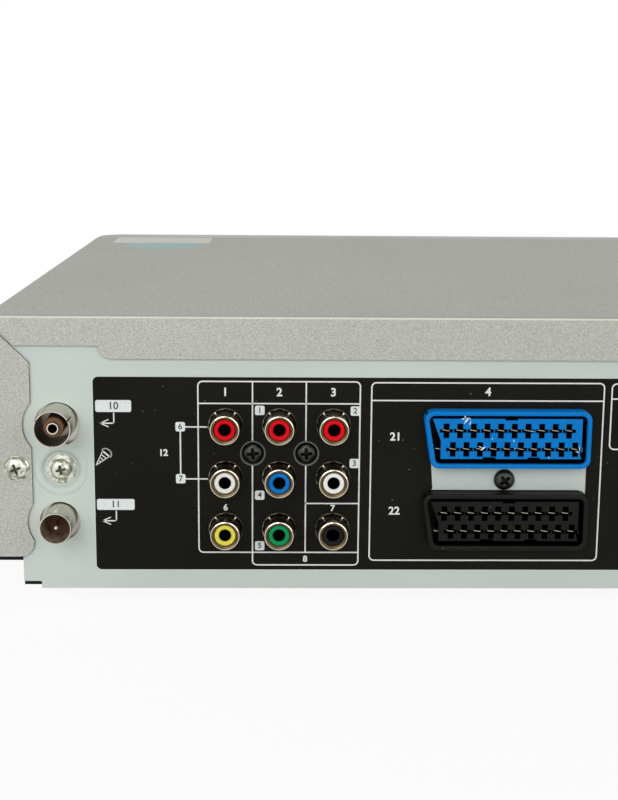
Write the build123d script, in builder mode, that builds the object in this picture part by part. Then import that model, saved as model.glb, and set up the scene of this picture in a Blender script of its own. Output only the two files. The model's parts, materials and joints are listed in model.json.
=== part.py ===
"""Disc player and cassette recorder in one flat steel case, the way it comes apart on a bench.

X runs to the right for someone facing the front, Y runs from the front to the rear, Z is up.
The origin is on the floor, under the middle of everything that sticks out. Sizes are in millimetres.
"""

import os
from math import acos, atan2, cos, degrees, hypot, pi, radians, sin, tan

from build123d import *

os.makedirs("parts", exist_ok=True)

# ---------------------------------------------------------------- case
width = 430.0
depth = 264.0  # face of the front bezel to the rear panel
body_height = 78.5
foot_height = 5.0
aerial_reach = 11.0  # how far the aerial socket stands out of the rear panel
front_reach = 1.0  # how far the tray front and the buttons stand out of the bezel
running_gap = 0.3  # between pieces that move past each other
slip_gap = 0.05  # between a shaft and its bore
seat_gap = 0.1  # between pieces that rest on each other

half = width / 2
y_panel = (depth + aerial_reach + front_reach) / 2 - aerial_reach
y_face = y_panel - depth
z_bottom = foot_height
z_top = foot_height + body_height

# Steel cover
cover_steel = 0.8
cover_bend = 1.6
rear_bend = 0.7
skirt_height = 9.6  # the cover's sides stop this far above the bottom of the body
lip_height = 11.85  # the flange turned down over the rear panel
lip_short = 8.2  # the same flange near the corners
lip_step_x = half - 32.0
lip_step_radius = 3.6
wing_width = 12.8  # the sides turned in over the rear panel
mitre_drop = 13.0
mitre_gap = 0.5
wing_corner = 4.0
vent_slot = (2.2, 14.0)
vent_pitch = 5.5
vents_per_side = 8
vent_height = 46.0

# Rear panel
panel_steel = 0.8
base_inset = 9.5  # the lower part of the body is narrower than the cover by this much a side
panel_flange = 8.0
dish_radius = 5.7
dish_depth = 1.2

# Front bezel
bezel_depth = 14.0
bezel_wall = 2.5
bezel_corner = 12.0
bezel_edge = 1.5
y_bezel_back = y_face + bezel_depth
y_bezel_inner = y_face + bezel_wall
tongue_x = (95.0 - half, half - 155.0, half - 65.0)
tongue_width = 18.0
tongue_reach = 8.0

# Base frame
floor_wall = 2.2
frame_wall = 1.8
frame_side_height = 27.0
z_floor = z_bottom + panel_steel + floor_wall
rail_z = (z_bottom + 8.3, z_bottom + 9.4)
pillar_depth = 10.0
lug_size = 6.0
boss = 3.5  # half the width of the posts that carry boards and frames
floor_slot = (5.0, 40.0, 24.0)  # width, length, pitch
foot_radius = 13.0
foot_at = [(x, y) for x in (37 - half, half - 37) for y in (y_face + 40, y_panel - 49)]

# ---------------------------------------------------------------- rear sockets
aerial_at = (half - 20.3, z_bottom + 48.8)
rf_at = (half - 20.4, z_bottom + 20.6)
aerial_hole = (half - 20.1, z_bottom + 47.8, 6.4)
rf_hole = (half - 20.2, z_bottom + 19.75, 5.75)
scallop_margin = 3.3  # the wing keeps this clear of the two round holes
aerial_radii = (4.75, 5.25)  # inside and outside of the socket's sleeve
rf_radii = (4.05, 4.5)
rf_reach = 10.5
insulator_radius = 2.9
pin_radius = 0.9
can_x = (half - 31.5, half - 12.2)
can_wall = 0.6

jack_pitch = 15.1
jack_x = half - 97.3  # the column nearest the middle of the panel
jack_z = z_bottom + 17.55  # the lowest row
jack_reach = 7.0
jack_radius = 4.15
jack_wall = 0.65
jack_bore = 1.68
jack_root = panel_steel + slip_gap  # the barrels stand on a block this far behind the panel's face
jack_hole = 4.8
jack_margin = 7.0
jack_block_depth = 11.0
insert_sunk = 0.3

# Small round things, and those that repeat, are prisms with this many sides
jack_sides = 12
bore_sides = 6
fit_sides = 16  # a shaft and its bore
round_sides = 24
columns = [jack_x + n * jack_pitch for n in range(3)]
rows = [jack_z + n * jack_pitch for n in range(3)]

scart_pitch = 3.81
scart_row_gap = 5.3
scart_pins = 10
scart_x = half - 145.8  # middle of the upper row of contacts
scart_z = z_bottom + 47.2  # upper row of the upper socket
scart_drop = 23.85  # the lower socket sits this far under the upper one
scart_reach = 4.2
scart_depth = 30.0
scart_clearance = 0.3
scart_rim = 1.35
scart_slot = (1.25, 3.6)
contact_width = 0.5
groove_depth = 10.0
slot_depth = 8.0

video_socket_at = (half - 187.0, z_bottom + 48.5)
video_radius = 5.8
video_pins = ((-2.2, -1.0), (2.2, -1.0), (-1.5, 1.8), (1.5, 1.8))

inlet_at = (33.0 - half, z_bottom + 26.0)
inlet_pin_pitch = 8.6
inlet_size = (24.0, 13.0)
inlet_body = 24.0
inlet_pocket = 14.0
inlet_lobe = 3.9
inlet_pin = 1.2

# ---------------------------------------------------------------- boards
board = 1.6
z_main_board = z_bottom + 10.0
main_board_x = (half - 199.0, half - 12.0)
main_board_y = (y_bezel_back + 11.0, y_panel - panel_steel - 1.0)
power_board_x = (15.0 - half, half - 207.0)
power_board_depth = 30.0
z_power_board = z_bottom + 8.0
y_front_board = y_bezel_back + 5.0  # its front side
front_board_x = half - 15.0
front_board_z = (z_bottom + 10.0, z_bottom + 43.0)
switch_size = 6.0
switch_height = 4.3
display_depth = 6.0
transformer_at = 60.0
transformer_size = (35.0, 27.0)
chips = ((34.0, 66.0, 28.0), (96.0, 84.0, 20.0), (134.0, 84.0, 14.0), (14.0, -60.0, 16.0))
chip_height = 2.5
power_capacitors = ((116, 15, 11, 32), (140, 10, 6, 22), (156, 18, 5, 16), (172, 10, 5, 16))
board_capacitors = ((72, 88), (88, 96), (124, 76))

# ---------------------------------------------------------------- disc loader
disc_radius = 60.0
tray_x = half - 90.0
spindle_y = y_face + 17.0 + disc_radius
tray_half = disc_radius + 4.5
z_tray = z_bottom + 52.0  # underside of the tray's runners
tray_rear = spindle_y + disc_radius + 50.0
tray_plate = z_tray + 1.5
disc_well = (disc_radius + 0.8, z_tray + 5.5)
small_well = (disc_radius - 19.5, z_tray + 3.8)
tray_slot = 21.0
tray_depth = 8.5
tray_door_size = (2 * tray_half + 15.0, 16.5)
tray_door_z = z_bottom + 57.75
tray_door_wall = 2.5
loader_wall = 2.0
loader_half = tray_half + 6.5
z_loader = z_bottom + 30.0
loader_front = y_face + 23.0
loader_rear = tray_rear + 12.0
z_loader_top = z_bottom + 66.0
gear_module = 1.5
gear_teeth = 12
gear_backlash = 0.3
gear_post = 2.0
pressure_angle = radians(20)
tooth_flank = tan(pressure_angle)
gear_y = y_face + 37.0
rack_x = tray_x - tray_half + 24.5
traverse_half = 36.0
z_traverse = z_bottom + 40.0
traverse_pivot = (tray_rear - 2.0, z_bottom + 41.0)
rod_x = 19.0
rod_z = z_bottom + 47.0
rod_radius = 1.5
sled_front = spindle_y + 14.0
sled_length = 26.0
lens_y = spindle_y + 24.0
spindle_radius = 1.5
turntable_radius = 14.0
hub_radius = 7.4
hub_height = 3.0
motor_radius = 12.0
trunnion_radius = 2.0
sled_half = 24.0
lens_radius = 2.4
clamp_radius = 13.0
bridge_steel = 1.2
bridge_half = 22.0

# ---------------------------------------------------------------- cassette deck
cassette_half = 93.5
deck_x = 119.0 - half
deck_half = cassette_half + 13.5
deck_y = (y_face + 25.0, y_face + 229.0)
deck_steel = 1.2
z_deck = z_bottom + 13.0  # underside of the deck plate
deck_bracket_z = z_bottom + 72.0
deck_bracket_y = (y_face + 29.0, y_face + 167.0)
slot_half = cassette_half + 2.8
slot_z = (z_bottom + 46.0, z_bottom + 75.7)
basket_half = cassette_half + 2.5
basket_steel = 1.0
basket_y = (y_face + 34.0, y_face + 92.0)
basket_z = (z_bottom + 45.0, z_bottom + 72.0)
basket_slide = 70.0
basket_drop = 19.0
slider_wall = 1.5
carriage_pin = 1.5
tongue_half = 1.0
reel_spacing = 92.0
reel_y = y_face + 105.0
reel_flange = 12.0
reel_post = 2.0
reel_height = 14.0
reel_hub = 5.0
drum_at = (deck_x - 8.0, y_face + 195.0)
drum_radius = 31.0
drum_tilt = 5.97
drum_split = 15.0
drum_sides = 36
drum_shaft = 2.5
capstan_at = (deck_x + 48.0, y_face + 173.0)
capstan_radius = 2.0
flywheel_radius = 27.0
pinch_pivot = (deck_x + 72.0, y_face + 187.0)
pinch_arm_length = 25.0
pinch_radius = 6.5
pinch_swing = 19.5
pinch_shaft = 1.5
pinch_arm_width = 7.0
bearing_radius = 4.5

# ---------------------------------------------------------------- front controls
rocker_at = (117.0 - half, z_bottom + 25.0)
window_x = (rocker_at[0] + 28.0, half - 170.0)
window_z = (z_bottom + 12.0, z_bottom + 36.0)
window_ledge = 2.0
window_sink = 1.8
flap = 2.5  # thickness of the cassette flap
flap_pin = 0.8
flap_pin_reach = 2.0
rocker_pin = 0.9
rocker_bearing = 8.5
rocker_stem_at = 8.0
button_flange = 1.5
button_grip = 1.3
crown_edge = 0.6
stem = 1.8
front_jack_depth = 13.0
jack_proud = -0.6
button_travel = 1.0
button_gap = 0.3
buttons = {  # middle x, middle height above the bottom, width, height
    "power_button": (27.0 - half, 36.0, 13.0, 9.0),
    "eject_button": (83.0 - half, 33.0, 18.0, 7.0),
    "record_button": (83.0 - half, 17.0, 18.0, 7.0),
    "play_button": (half - 137.0, 24.0, 18.0, 9.0),
    "stop_button": (half - 111.0, 24.0, 18.0, 9.0),
    "source_button": (half - 31.0, 17.0, 18.0, 7.0),
    "open_button": (half - 31.0, 35.0, 18.0, 7.0),
}
rocker_size = (9.0, 25.0)
front_jacks = [(offset - half, z_bottom + 17.0) for offset in (25.0, 40.0, 55.0)]


def across(y):
    """A plane across the case at y: local x is X, local y is Z, and extrusion goes to the front."""
    return Plane(origin=(0, y, 0), x_dir=(1, 0, 0), z_dir=(0, -1, 0))


def level(z):
    """A sketch plane at height z."""
    return Plane.XY.offset(z)


def block(x, y, z, mode=Mode.ADD):
    """A box given by its low and high side along each axis."""
    middle = ((x[0] + x[1]) / 2, (y[0] + y[1]) / 2, (z[0] + z[1]) / 2)
    with Locations(middle):
        Box(x[1] - x[0], y[1] - y[0], z[1] - z[0], mode=mode)


def rod(start, way, length, radius, sides, mode):
    """A straight rod: a cylinder, or a prism where a number of sides is given."""
    plane = Plane(origin=start, z_dir=way)
    if sides:
        with BuildSketch(plane, mode=Mode.PRIVATE) as outline:
            RegularPolygon(radius, sides)
        extrude(outline.sketch, amount=length, mode=mode)
    else:
        with Locations(plane.location):
            Cylinder(radius, length, align=(Align.CENTER, Align.CENTER, Align.MIN), mode=mode)


def post(x, y, z, radius, mode=Mode.ADD, sides=0):
    """An upright rod between two heights."""
    rod((x, y, z[0]), (0, 0, 1), z[1] - z[0], radius, sides, mode)


def spigot(x, y, z, radius, mode=Mode.ADD, sides=0):
    """A rod that runs from front to rear between two values of y."""
    rod((x, y[0], z), (0, 1, 0), y[1] - y[0], radius, sides, mode)


def cross_pin(x, y, z, radius, mode=Mode.ADD, sides=0):
    """A rod that runs from side to side between two values of x."""
    rod((x[0], y, z), (1, 0, 0), x[1] - x[0], radius, sides, mode)


def save(piece, name):
    """Labels a finished piece and writes it under its name."""
    piece.part.label = name
    export_step(piece.part, f"parts/{name}.step")


def pair(side, near, far, middle=0.0):
    """The low and high end of a span that lies between two distances to one side of a middle."""
    return sorted((middle + side * near, middle + side * far))


# ---------------------------------------------------------------- posts of the base frame
loader_ends = (loader_front + 7, loader_rear - 8)
loader_post_at = [(tray_x + side * (loader_half - 5), y) for side in (-1, 1) for y in loader_ends]
deck_ends = (deck_y[0] + 8, deck_y[1] - 6)
deck_post_at = [(deck_x + side * (deck_half - 9), y) for side in (-1, 1) for y in deck_ends]
board_post_at = [(main_board_x[0] + 8, y) for y in (y_face + 33, y_face + 157, y_face + 237)]
board_post_at += [(main_board_x[1] - 7, y_panel - 9)]
power_post_at = [(power_board_x[0] + offset, y_panel - 10) for offset in (6, 100, 202)]

# ================================================================ case
screw_head = 3.5
screw_rise = 2.1
screw_shank = 1.5
screw_bore = 1.85
screw_length = 5.0
black_head = 2.9
wing_screw = (half - 8.5, z_bottom + 35.5)
dish_screw = (half - 20.8, z_bottom + 34.9)
jack_screws = [(jack_x + (n + 0.5) * jack_pitch, z_bottom + 39.7) for n in range(2)]
scart_screw = (scart_x, z_bottom + 32.35)
side_screw_y = (y_face + 77.0, y_face + 217.0)
side_screw_z = z_bottom + 20.0
y_cover = y_panel + cover_steel
cover_front = y_bezel_back + running_gap
wing_x = half - wing_width
z_skirt = z_bottom + skirt_height

with BuildPart() as top_cover:
    with BuildSketch(across(y_cover)) as section:
        with Locations((0, (z_skirt + z_top) / 2)):
            Rectangle(width, z_top - z_skirt)
        fillet(section.vertices().group_by(Axis.Y)[-1], cover_bend)
        with Locations((0, (z_skirt + z_top - cover_steel) / 2)):
            Rectangle(width - 2 * cover_steel, z_top - z_skirt - cover_steel, mode=Mode.SUBTRACT)
    extrude(amount=y_cover - cover_front)
    # the flange turned down over the rear panel, stepped and mitred at both ends
    with BuildSketch(across(y_cover)):
        with BuildLine():
            mitre_x = half - mitre_gap - lip_short * wing_width / mitre_drop
            step_end = lip_step_x - lip_step_radius
            edge = Polyline(
                (0, z_top),
                (half - cover_bend, z_top),
                (mitre_x, z_top - lip_short),
                (lip_step_x, z_top - lip_short),
            )
            bend = ThreePointArc(
                edge @ 1,
                (
                    step_end + lip_step_radius * cos(pi / 4),
                    z_top - lip_short - (lip_height - lip_short) * sin(pi / 4),
                ),
                (step_end, z_top - lip_height),
            )
            Polyline(bend @ 1, (0, z_top - lip_height), (0, z_top))
        make_face()
        mirror(about=Plane.YZ)
    extrude(amount=cover_steel)
    # the two sides turned in, cut back round the aerial sockets
    with BuildSketch(across(y_cover)) as wings:
        with BuildLine():
            Polyline(
                (half, z_top - cover_bend),
                (half - cover_bend, z_top - cover_bend - mitre_gap),
                (wing_x, z_top - mitre_drop),
                (wing_x, z_skirt),
                (half, z_skirt),
                close=True,
            )
        make_face()
        fillet(wings.vertices().group_by(Axis.Y)[0].sort_by(Axis.X)[0], wing_corner)
        mirror(about=Plane.YZ)
        for x, z, radius in (aerial_hole, rf_hole):
            with Locations((x, z)):
                Circle(radius + scallop_margin, mode=Mode.SUBTRACT)
    extrude(amount=cover_steel)
    rear_bends = top_cover.edges().filter_by_position(Axis.Y, y_cover - 0.01, y_cover + 0.01)
    top_bend = rear_bends.filter_by(Axis.X).filter_by_position(Axis.Z, z_top - 0.01, z_top + 0.01)
    fillet(top_bend, rear_bend)
    for side in (1, -1):
        with Locations((side * wing_screw[0], y_panel, wing_screw[1])):
            Box(2 * screw_bore, 4 * cover_steel, 2 * screw_bore, mode=Mode.SUBTRACT)
        for y in side_screw_y:
            wall = pair(side, half - 2 * cover_steel, half + cover_steel)
            cross_pin(wall, y, side_screw_z, screw_bore, Mode.SUBTRACT, bore_sides)
        for n in range(vents_per_side):
            y = side_screw_y[1] - 8 - n * vent_pitch
            with Locations((side * half, y, z_bottom + vent_height)):
                Box(4 * cover_steel, *vent_slot, mode=Mode.SUBTRACT)
save(top_cover, "top_cover")


def scart_outline(grow=0.0):
    """The rim of a socket as seen from the rear, shifted so that the upper row of contacts is at 0, 0."""
    reach = scart_pitch * (scart_pins - 1) / 2
    right = -reach - 6.4
    left_top = reach + 6.5
    left_low = reach + 4.0
    top = 5.6
    low = -10.8
    corner = 2.6
    spots = [
        (left_top - corner, top - corner),
        (right + corner, top - corner),
        (right + corner, low + corner),
        (left_low - corner, low + corner),
    ]
    with Locations(*spots):
        RegularPolygon(corner + grow, jack_sides)
    make_hull()


def scart_block():
    """Leaves out the block of contacts inside the rim, which has a stepped corner."""
    reach = scart_pitch * (scart_pins - 1) / 2
    with BuildLine() as rim:
        Polyline(
            (reach + 4.0, 3.6),
            (-reach - 3.8, 3.6),
            (-reach - 3.8, -8.1),
            (reach + 1.5, -8.1),
            (reach + 1.5, -2.9),
            close=True,
        )
    make_face(rim.edges(), mode=Mode.SUBTRACT)


scart_sockets = {"scart_av2": scart_z, "scart_av1": scart_z - scart_drop}

with BuildPart() as rear_panel:
    panel_half = half - cover_steel - running_gap
    base_half = half - base_inset
    with BuildSketch(across(y_panel)):
        with BuildLine():
            notch = (5.0, 2.1)
            outline = Polyline(
                (0, z_top - cover_steel - running_gap),
                (panel_half, z_top - cover_steel - running_gap),
                (panel_half, z_skirt),
                (base_half, z_skirt),
                (base_half, z_bottom + notch[1]),
                (base_half - notch[0], z_bottom + notch[1]),
                (base_half - notch[0], z_bottom),
                (0, z_bottom),
            )
            Line(outline @ 1, outline @ 0)
        make_face()
        mirror(about=Plane.YZ)
        for x, z, radius in (aerial_hole, rf_hole):
            with Locations((x, z)):
                Circle(radius, mode=Mode.SUBTRACT)
        with Locations(dish_screw):
            RegularPolygon(dish_radius, jack_sides, mode=Mode.SUBTRACT)
        with Locations(*[(x, z) for x in columns for z in rows]):
            RegularPolygon(jack_hole, jack_sides, mode=Mode.SUBTRACT)
        with Locations(*jack_screws):
            RegularPolygon(screw_head, jack_sides, mode=Mode.SUBTRACT)
        with Locations(scart_screw, *[(side * wing_screw[0], wing_screw[1]) for side in (1, -1)]):
            RegularPolygon(screw_bore, bore_sides, mode=Mode.SUBTRACT)
        with Locations(video_socket_at):
            RegularPolygon(6.0, jack_sides, mode=Mode.SUBTRACT)
        with Locations(inlet_at):
            Rectangle(inlet_size[0] + 0.4, inlet_size[1] + 0.4, mode=Mode.SUBTRACT)
        with Locations((120 - half, z_bottom + 52)):
            with GridLocations(1.5 * vent_pitch, 0, 10, 1):
                Rectangle(*vent_slot, mode=Mode.SUBTRACT)
    extrude(amount=panel_steel)
    for z in scart_sockets.values():
        with BuildSketch(across(y_panel).shift_origin(Vector(scart_x, y_panel, z))):
            scart_outline(scart_clearance)
        extrude(amount=panel_steel, mode=Mode.SUBTRACT)
    # the dished seat of the screw between the two aerial sockets
    rear_face = Plane(origin=(dish_screw[0], y_panel, dish_screw[1]), x_dir=(1, 0, 0), z_dir=(0, -1, 0))
    seat_depth = dish_depth + panel_steel
    with BuildSketch(rear_face):
        RegularPolygon(dish_radius + panel_steel, jack_sides)
    extrude(amount=seat_depth, taper=30)
    with BuildSketch(rear_face):
        RegularPolygon(dish_radius, jack_sides)
    extrude(amount=dish_depth, taper=30, mode=Mode.SUBTRACT)
    spigot(dish_screw[0], (y_panel - 4, y_panel), dish_screw[1], screw_bore, Mode.SUBTRACT, bore_sides)
    block(
        (notch[0] - base_half, base_half - notch[0]),
        (y_panel - panel_flange, y_panel),
        (z_bottom, z_bottom + panel_steel),
    )
save(rear_panel, "rear_panel")


# ================================================================ fasteners
def screw(radius, rise):
    """A screw along local z: a head that narrows upwards, and a plain shank."""
    with BuildPart(mode=Mode.PRIVATE) as body:
        with BuildSketch():
            RegularPolygon(radius, jack_sides)
        extrude(amount=rise, taper=20)
        with BuildSketch():
            RegularPolygon(screw_shank, bore_sides)
        extrude(amount=-screw_length)
    return body.part


rearward = (-90, 0, 0)
zinc = screw(screw_head, screw_rise)
with BuildPart() as zinc_screws:
    wing_spots = [Location((side * wing_screw[0], y_cover, wing_screw[1]), rearward) for side in (1, -1)]
    with Locations(*wing_spots):
        add(zinc)
    with Locations(Location((dish_screw[0], y_panel - dish_depth, dish_screw[1]), rearward)):
        add(zinc)
    for side in (1, -1):
        outward = (0, side * 90, 0)
        with Locations(*[Location((side * half, y, side_screw_z), outward) for y in side_screw_y]):
            add(zinc)
save(zinc_screws, "zinc_screws")

with BuildPart() as black_screws:
    with Locations(*[Location((x, y_panel - jack_root, z), rearward) for x, z in jack_screws]):
        add(screw(black_head, screw_rise))
    with Locations(Location((scart_screw[0], y_panel, scart_screw[1]), rearward)):
        add(screw(black_head, screw_rise))
save(black_screws, "black_screws")

# ================================================================ base frame and feet
frame_y = (y_bezel_back + seat_gap, y_panel - panel_steel - seat_gap)
cover_inside = half - cover_steel - running_gap


def bosses(spots, top):
    """Square posts that stand on the floor of the base frame and carry what rests at a height."""
    for x, y in spots:
        block((x - boss, x + boss), (y - boss, y + boss), (z_floor, top))


with BuildPart() as base_frame:
    block((-base_half, base_half), frame_y, (z_bottom + panel_steel, z_floor))
    for side in (1, -1):
        wall_x = pair(side, base_half - frame_wall, base_half)
        block(wall_x, frame_y, (z_floor, z_bottom + frame_side_height))
        block(pair(side, base_half, cover_inside), (frame_y[0], y_panel - seat_gap), rail_z)
        pillar_x = pair(side, base_half - frame_wall, cover_inside - 1.0)
        block(pillar_x, (frame_y[1] - pillar_depth, frame_y[1]), (rail_z[0], wing_screw[1] + lug_size))
        bore_y = (frame_y[1] - pillar_depth - 1, y_panel)
        spigot(side * wing_screw[0], bore_y, wing_screw[1], screw_bore, Mode.SUBTRACT, bore_sides)
        for y in side_screw_y:
            lug_x = pair(side, base_half, half - cover_steel - slip_gap)
            block(lug_x, (y - lug_size, y + lug_size), (rail_z[0], side_screw_z + lug_size))
            bore_x = pair(side, base_half - 1, half)
            cross_pin(bore_x, y, side_screw_z, screw_bore, Mode.SUBTRACT, bore_sides)
    bosses(loader_post_at, z_loader)
    bosses(deck_post_at, z_deck)
    bosses(board_post_at, z_main_board)
    bosses(power_post_at, z_power_board)
    with Locations((tray_x, y_face + 157, z_floor), (deck_x, y_face + 67, z_floor)):
        with GridLocations(floor_slot[2], 0, 4, 1):
            Box(floor_slot[0], floor_slot[1], 3 * floor_wall, mode=Mode.SUBTRACT)
save(base_frame, "base_frame")

with BuildPart() as feet:
    for x, y in foot_at:
        post(x, y, (0, z_bottom + panel_steel), foot_radius, sides=20)
save(feet, "feet")

# ================================================================ front bezel
slot_x = (deck_x - slot_half, deck_x + slot_half)
door_opening = [value + 2 * running_gap for value in tray_door_size]
rocker_x, rocker_z = rocker_at
rocker_axis = y_bezel_inner + 1.5
door_axis = (y_face + flap / 2, slot_z[1] - 1.4)
ledge_x = (window_x[0] + window_ledge, window_x[1] - window_ledge)
ledge_z = (window_z[0] + window_ledge, window_z[1] - window_ledge)

with BuildPart() as front_bezel:
    block((-half, half), (y_face, y_bezel_back), (z_bottom, z_top))
    front = front_bezel.edges().filter_by_position(Axis.Y, y_face - 0.01, y_face + 0.01)
    fillet(front.filter_by(Axis.Z), bezel_corner)
    top_rim = front_bezel.faces().sort_by(Axis.Z)[-1].edges()
    chamfer(top_rim.filter_by_position(Axis.Y, y_face - 1, y_face + bezel_corner / 2), bezel_edge)
    with BuildSketch(level(z_bottom + bezel_wall)) as hollow:
        with Locations((0, y_bezel_inner + bezel_depth)):
            Rectangle(width - 2 * bezel_wall, 2 * bezel_depth)
        fillet(hollow.vertices().group_by(Axis.Y)[0], bezel_corner - bezel_wall)
    extrude(amount=body_height - 2 * bezel_wall, mode=Mode.SUBTRACT)
    # tongues that hook into the base frame
    for x in tongue_x:
        block((x, x + tongue_width), (y_bezel_inner, y_bezel_back), (z_bottom + 1, z_floor + bezel_wall))
        tip_y = (y_bezel_back - 1, y_bezel_back + tongue_reach)
        block((x, x + tongue_width), tip_y, (z_floor, z_floor + bezel_wall))
    bearing_y = (y_bezel_inner - 0.2, y_bezel_inner + 3.5)
    bearing_x = (rocker_x - rocker_bearing, rocker_x + rocker_bearing)
    block(bearing_x, bearing_y, (rocker_z - 3, rocker_z + 3))
    block(slot_x, (y_face - 1, y_bezel_inner + 4), slot_z, Mode.SUBTRACT)
    with Locations((tray_x, y_face, tray_door_z)):
        Box(door_opening[0], 2 * bezel_depth, door_opening[1], mode=Mode.SUBTRACT)
    block(window_x, (y_face - 1, y_face + window_sink), window_z, Mode.SUBTRACT)
    block(ledge_x, (y_face, y_bezel_back - 1), ledge_z, Mode.SUBTRACT)
    for x, h, wide, tall in buttons.values():
        with Locations((x, y_face, z_bottom + h)):
            Box(wide + 2 * button_gap, 4 * bezel_wall, tall + 2 * button_gap, mode=Mode.SUBTRACT)
    with Locations((rocker_x, y_face, rocker_z)):
        opening = (rocker_size[0] + 2 * button_gap, rocker_size[1] + 4 * button_gap)
        Box(opening[0], 2 * bezel_depth, opening[1], mode=Mode.SUBTRACT)
    pin_x = (bearing_x[0] + 1, bearing_x[1] - 1)
    cross_pin(pin_x, rocker_axis, rocker_z, rocker_pin + slip_gap, Mode.SUBTRACT, fit_sides)
    pin_x = (slot_x[0] - flap_pin_reach, slot_x[1] + flap_pin_reach)
    cross_pin(pin_x, *door_axis, flap_pin + slip_gap, Mode.SUBTRACT, fit_sides)
    for x, z in front_jacks:
        spigot(x, (y_face - 1, y_face + 2 * bezel_wall), z, jack_hole, Mode.SUBTRACT, jack_sides)
save(front_bezel, "front_bezel")

with BuildPart() as display_window:
    pane_x = (window_x[0] + seat_gap, window_x[1] - seat_gap)
    pane_z = (window_z[0] + seat_gap, window_z[1] - seat_gap)
    block(pane_x, (y_face + running_gap, y_face + window_sink - slip_gap), pane_z)
save(display_window, "display_window")

with BuildPart() as cassette_door:
    flap_x = (slot_x[0] + running_gap, slot_x[1] - running_gap)
    block(flap_x, (y_face, y_face + flap), (slot_z[0] + running_gap, door_axis[1]))
    cross_pin(flap_x, *door_axis, flap / 2)
    pin_x = (slot_x[0] - flap_pin_reach + seat_gap, slot_x[1] + flap_pin_reach - seat_gap)
    cross_pin(pin_x, *door_axis, flap_pin, sides=fit_sides)
save(cassette_door, "cassette_door")

# ================================================================ buttons
switch_face = y_front_board - switch_height
stem_end = switch_face - button_travel - 0.2
flange_y = (y_bezel_inner + slip_gap, y_bezel_inner + button_flange)
for name, (x, h, wide, tall) in buttons.items():
    z = z_bottom + h
    with BuildPart() as button:
        cap_y = (y_face - front_reach, flange_y[1])
        block((x - wide / 2, x + wide / 2), cap_y, (z - tall / 2, z + tall / 2))
        crown = button.edges().filter_by_position(Axis.Y, cap_y[0] - 0.01, cap_y[0] + 0.01)
        chamfer(crown, crown_edge)
        grip = (wide / 2 + button_grip, tall / 2 + button_grip)
        block((x - grip[0], x + grip[0]), flange_y, (z - grip[1], z + grip[1]))
        block((x - stem, x + stem), (y_bezel_inner + 1, stem_end), (z - stem, z + stem))
    save(button, name)

with BuildPart() as channel_rocker:
    cap_y = (y_face - front_reach, rocker_axis + 1.0)
    wide, tall = rocker_size
    block((rocker_x - wide / 2, rocker_x + wide / 2), cap_y, (rocker_z - tall / 2, rocker_z + tall / 2))
    crown = channel_rocker.edges().filter_by_position(Axis.Y, cap_y[0] - 0.01, cap_y[0] + 0.01)
    chamfer(crown, crown_edge)
    pin_x = (bearing_x[0] + 1 + seat_gap, bearing_x[1] - 1 - seat_gap)
    cross_pin(pin_x, rocker_axis, rocker_z, rocker_pin, sides=fit_sides)
    for z in (rocker_z - rocker_stem_at, rocker_z + rocker_stem_at):
        block((rocker_x - stem, rocker_x + stem), (rocker_axis, stem_end), (z - stem, z + stem))
save(channel_rocker, "channel_rocker")

# ================================================================ boards
z_board_top = z_main_board + board
z_power = z_power_board + board
power_y = (y_panel - panel_steel - 0.6 - power_board_depth, y_panel - panel_steel - 0.6)
with BuildPart() as main_board:
    block(main_board_x, main_board_y, (z_main_board, z_board_top))
    hole = boss + 1
    for x, y in loader_post_at:
        through = (z_main_board - 1, z_board_top + 1)
        block((x - hole, x + hole), (y - hole, y + hole), through, Mode.SUBTRACT)
    for offset, y, wide in chips:
        x = main_board_x[0] + offset
        block((x, x + wide), (y, y + wide), (z_board_top, z_board_top + chip_height))
save(main_board, "main_board")

with BuildPart() as power_board:
    block(power_board_x, power_y, (z_power_board, z_power))
save(power_board, "power_board")

with BuildPart() as transformer:
    x = power_board_x[0] + transformer_at
    wide, tall = transformer_size
    block((x, x + wide), (power_y[0] + 1, power_y[1] - 1), (z_power, z_power + 5))
    block((x + 2, x + wide - 2), (power_y[0] + 2, power_y[1] - 2), (z_power + 5, z_power + tall - 3))
    block((x - 1, x + wide + 1), (power_y[0] + 8, power_y[1] - 8), (z_power + 4, z_power + tall))
save(transformer, "transformer")

with BuildPart() as capacitors:
    for dx, dy, radius, tall in power_capacitors:
        spot = (power_board_x[0] + dx, power_y[0] + dy)
        post(*spot, (z_power, z_power + tall), radius, sides=jack_sides)
    for dx, y in board_capacitors:
        post(main_board_x[0] + dx, y, (z_board_top, z_board_top + 12), 4.0, sides=bore_sides)
save(capacitors, "capacitors")

with BuildPart() as front_board:
    block((-front_board_x, front_board_x), (y_front_board, y_front_board + board), front_board_z)
    switches = [(x, z_bottom + h) for x, h, wide, tall in buttons.values()]
    switches += [(rocker_x, rocker_z + side * rocker_stem_at) for side in (1, -1)]
    reach = switch_size / 2
    for x, z in switches:
        block((x - reach, x + reach), (switch_face, y_front_board), (z - reach, z + reach))
save(front_board, "front_board")

with BuildPart() as display_module:
    glass_x = (ledge_x[0] + window_ledge, ledge_x[1] - window_ledge)
    glass_z = (ledge_z[0] + 0.5, ledge_z[1] - 0.5)
    block(glass_x, (y_front_board - display_depth, y_front_board), glass_z)
save(display_module, "display_module")

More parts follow.
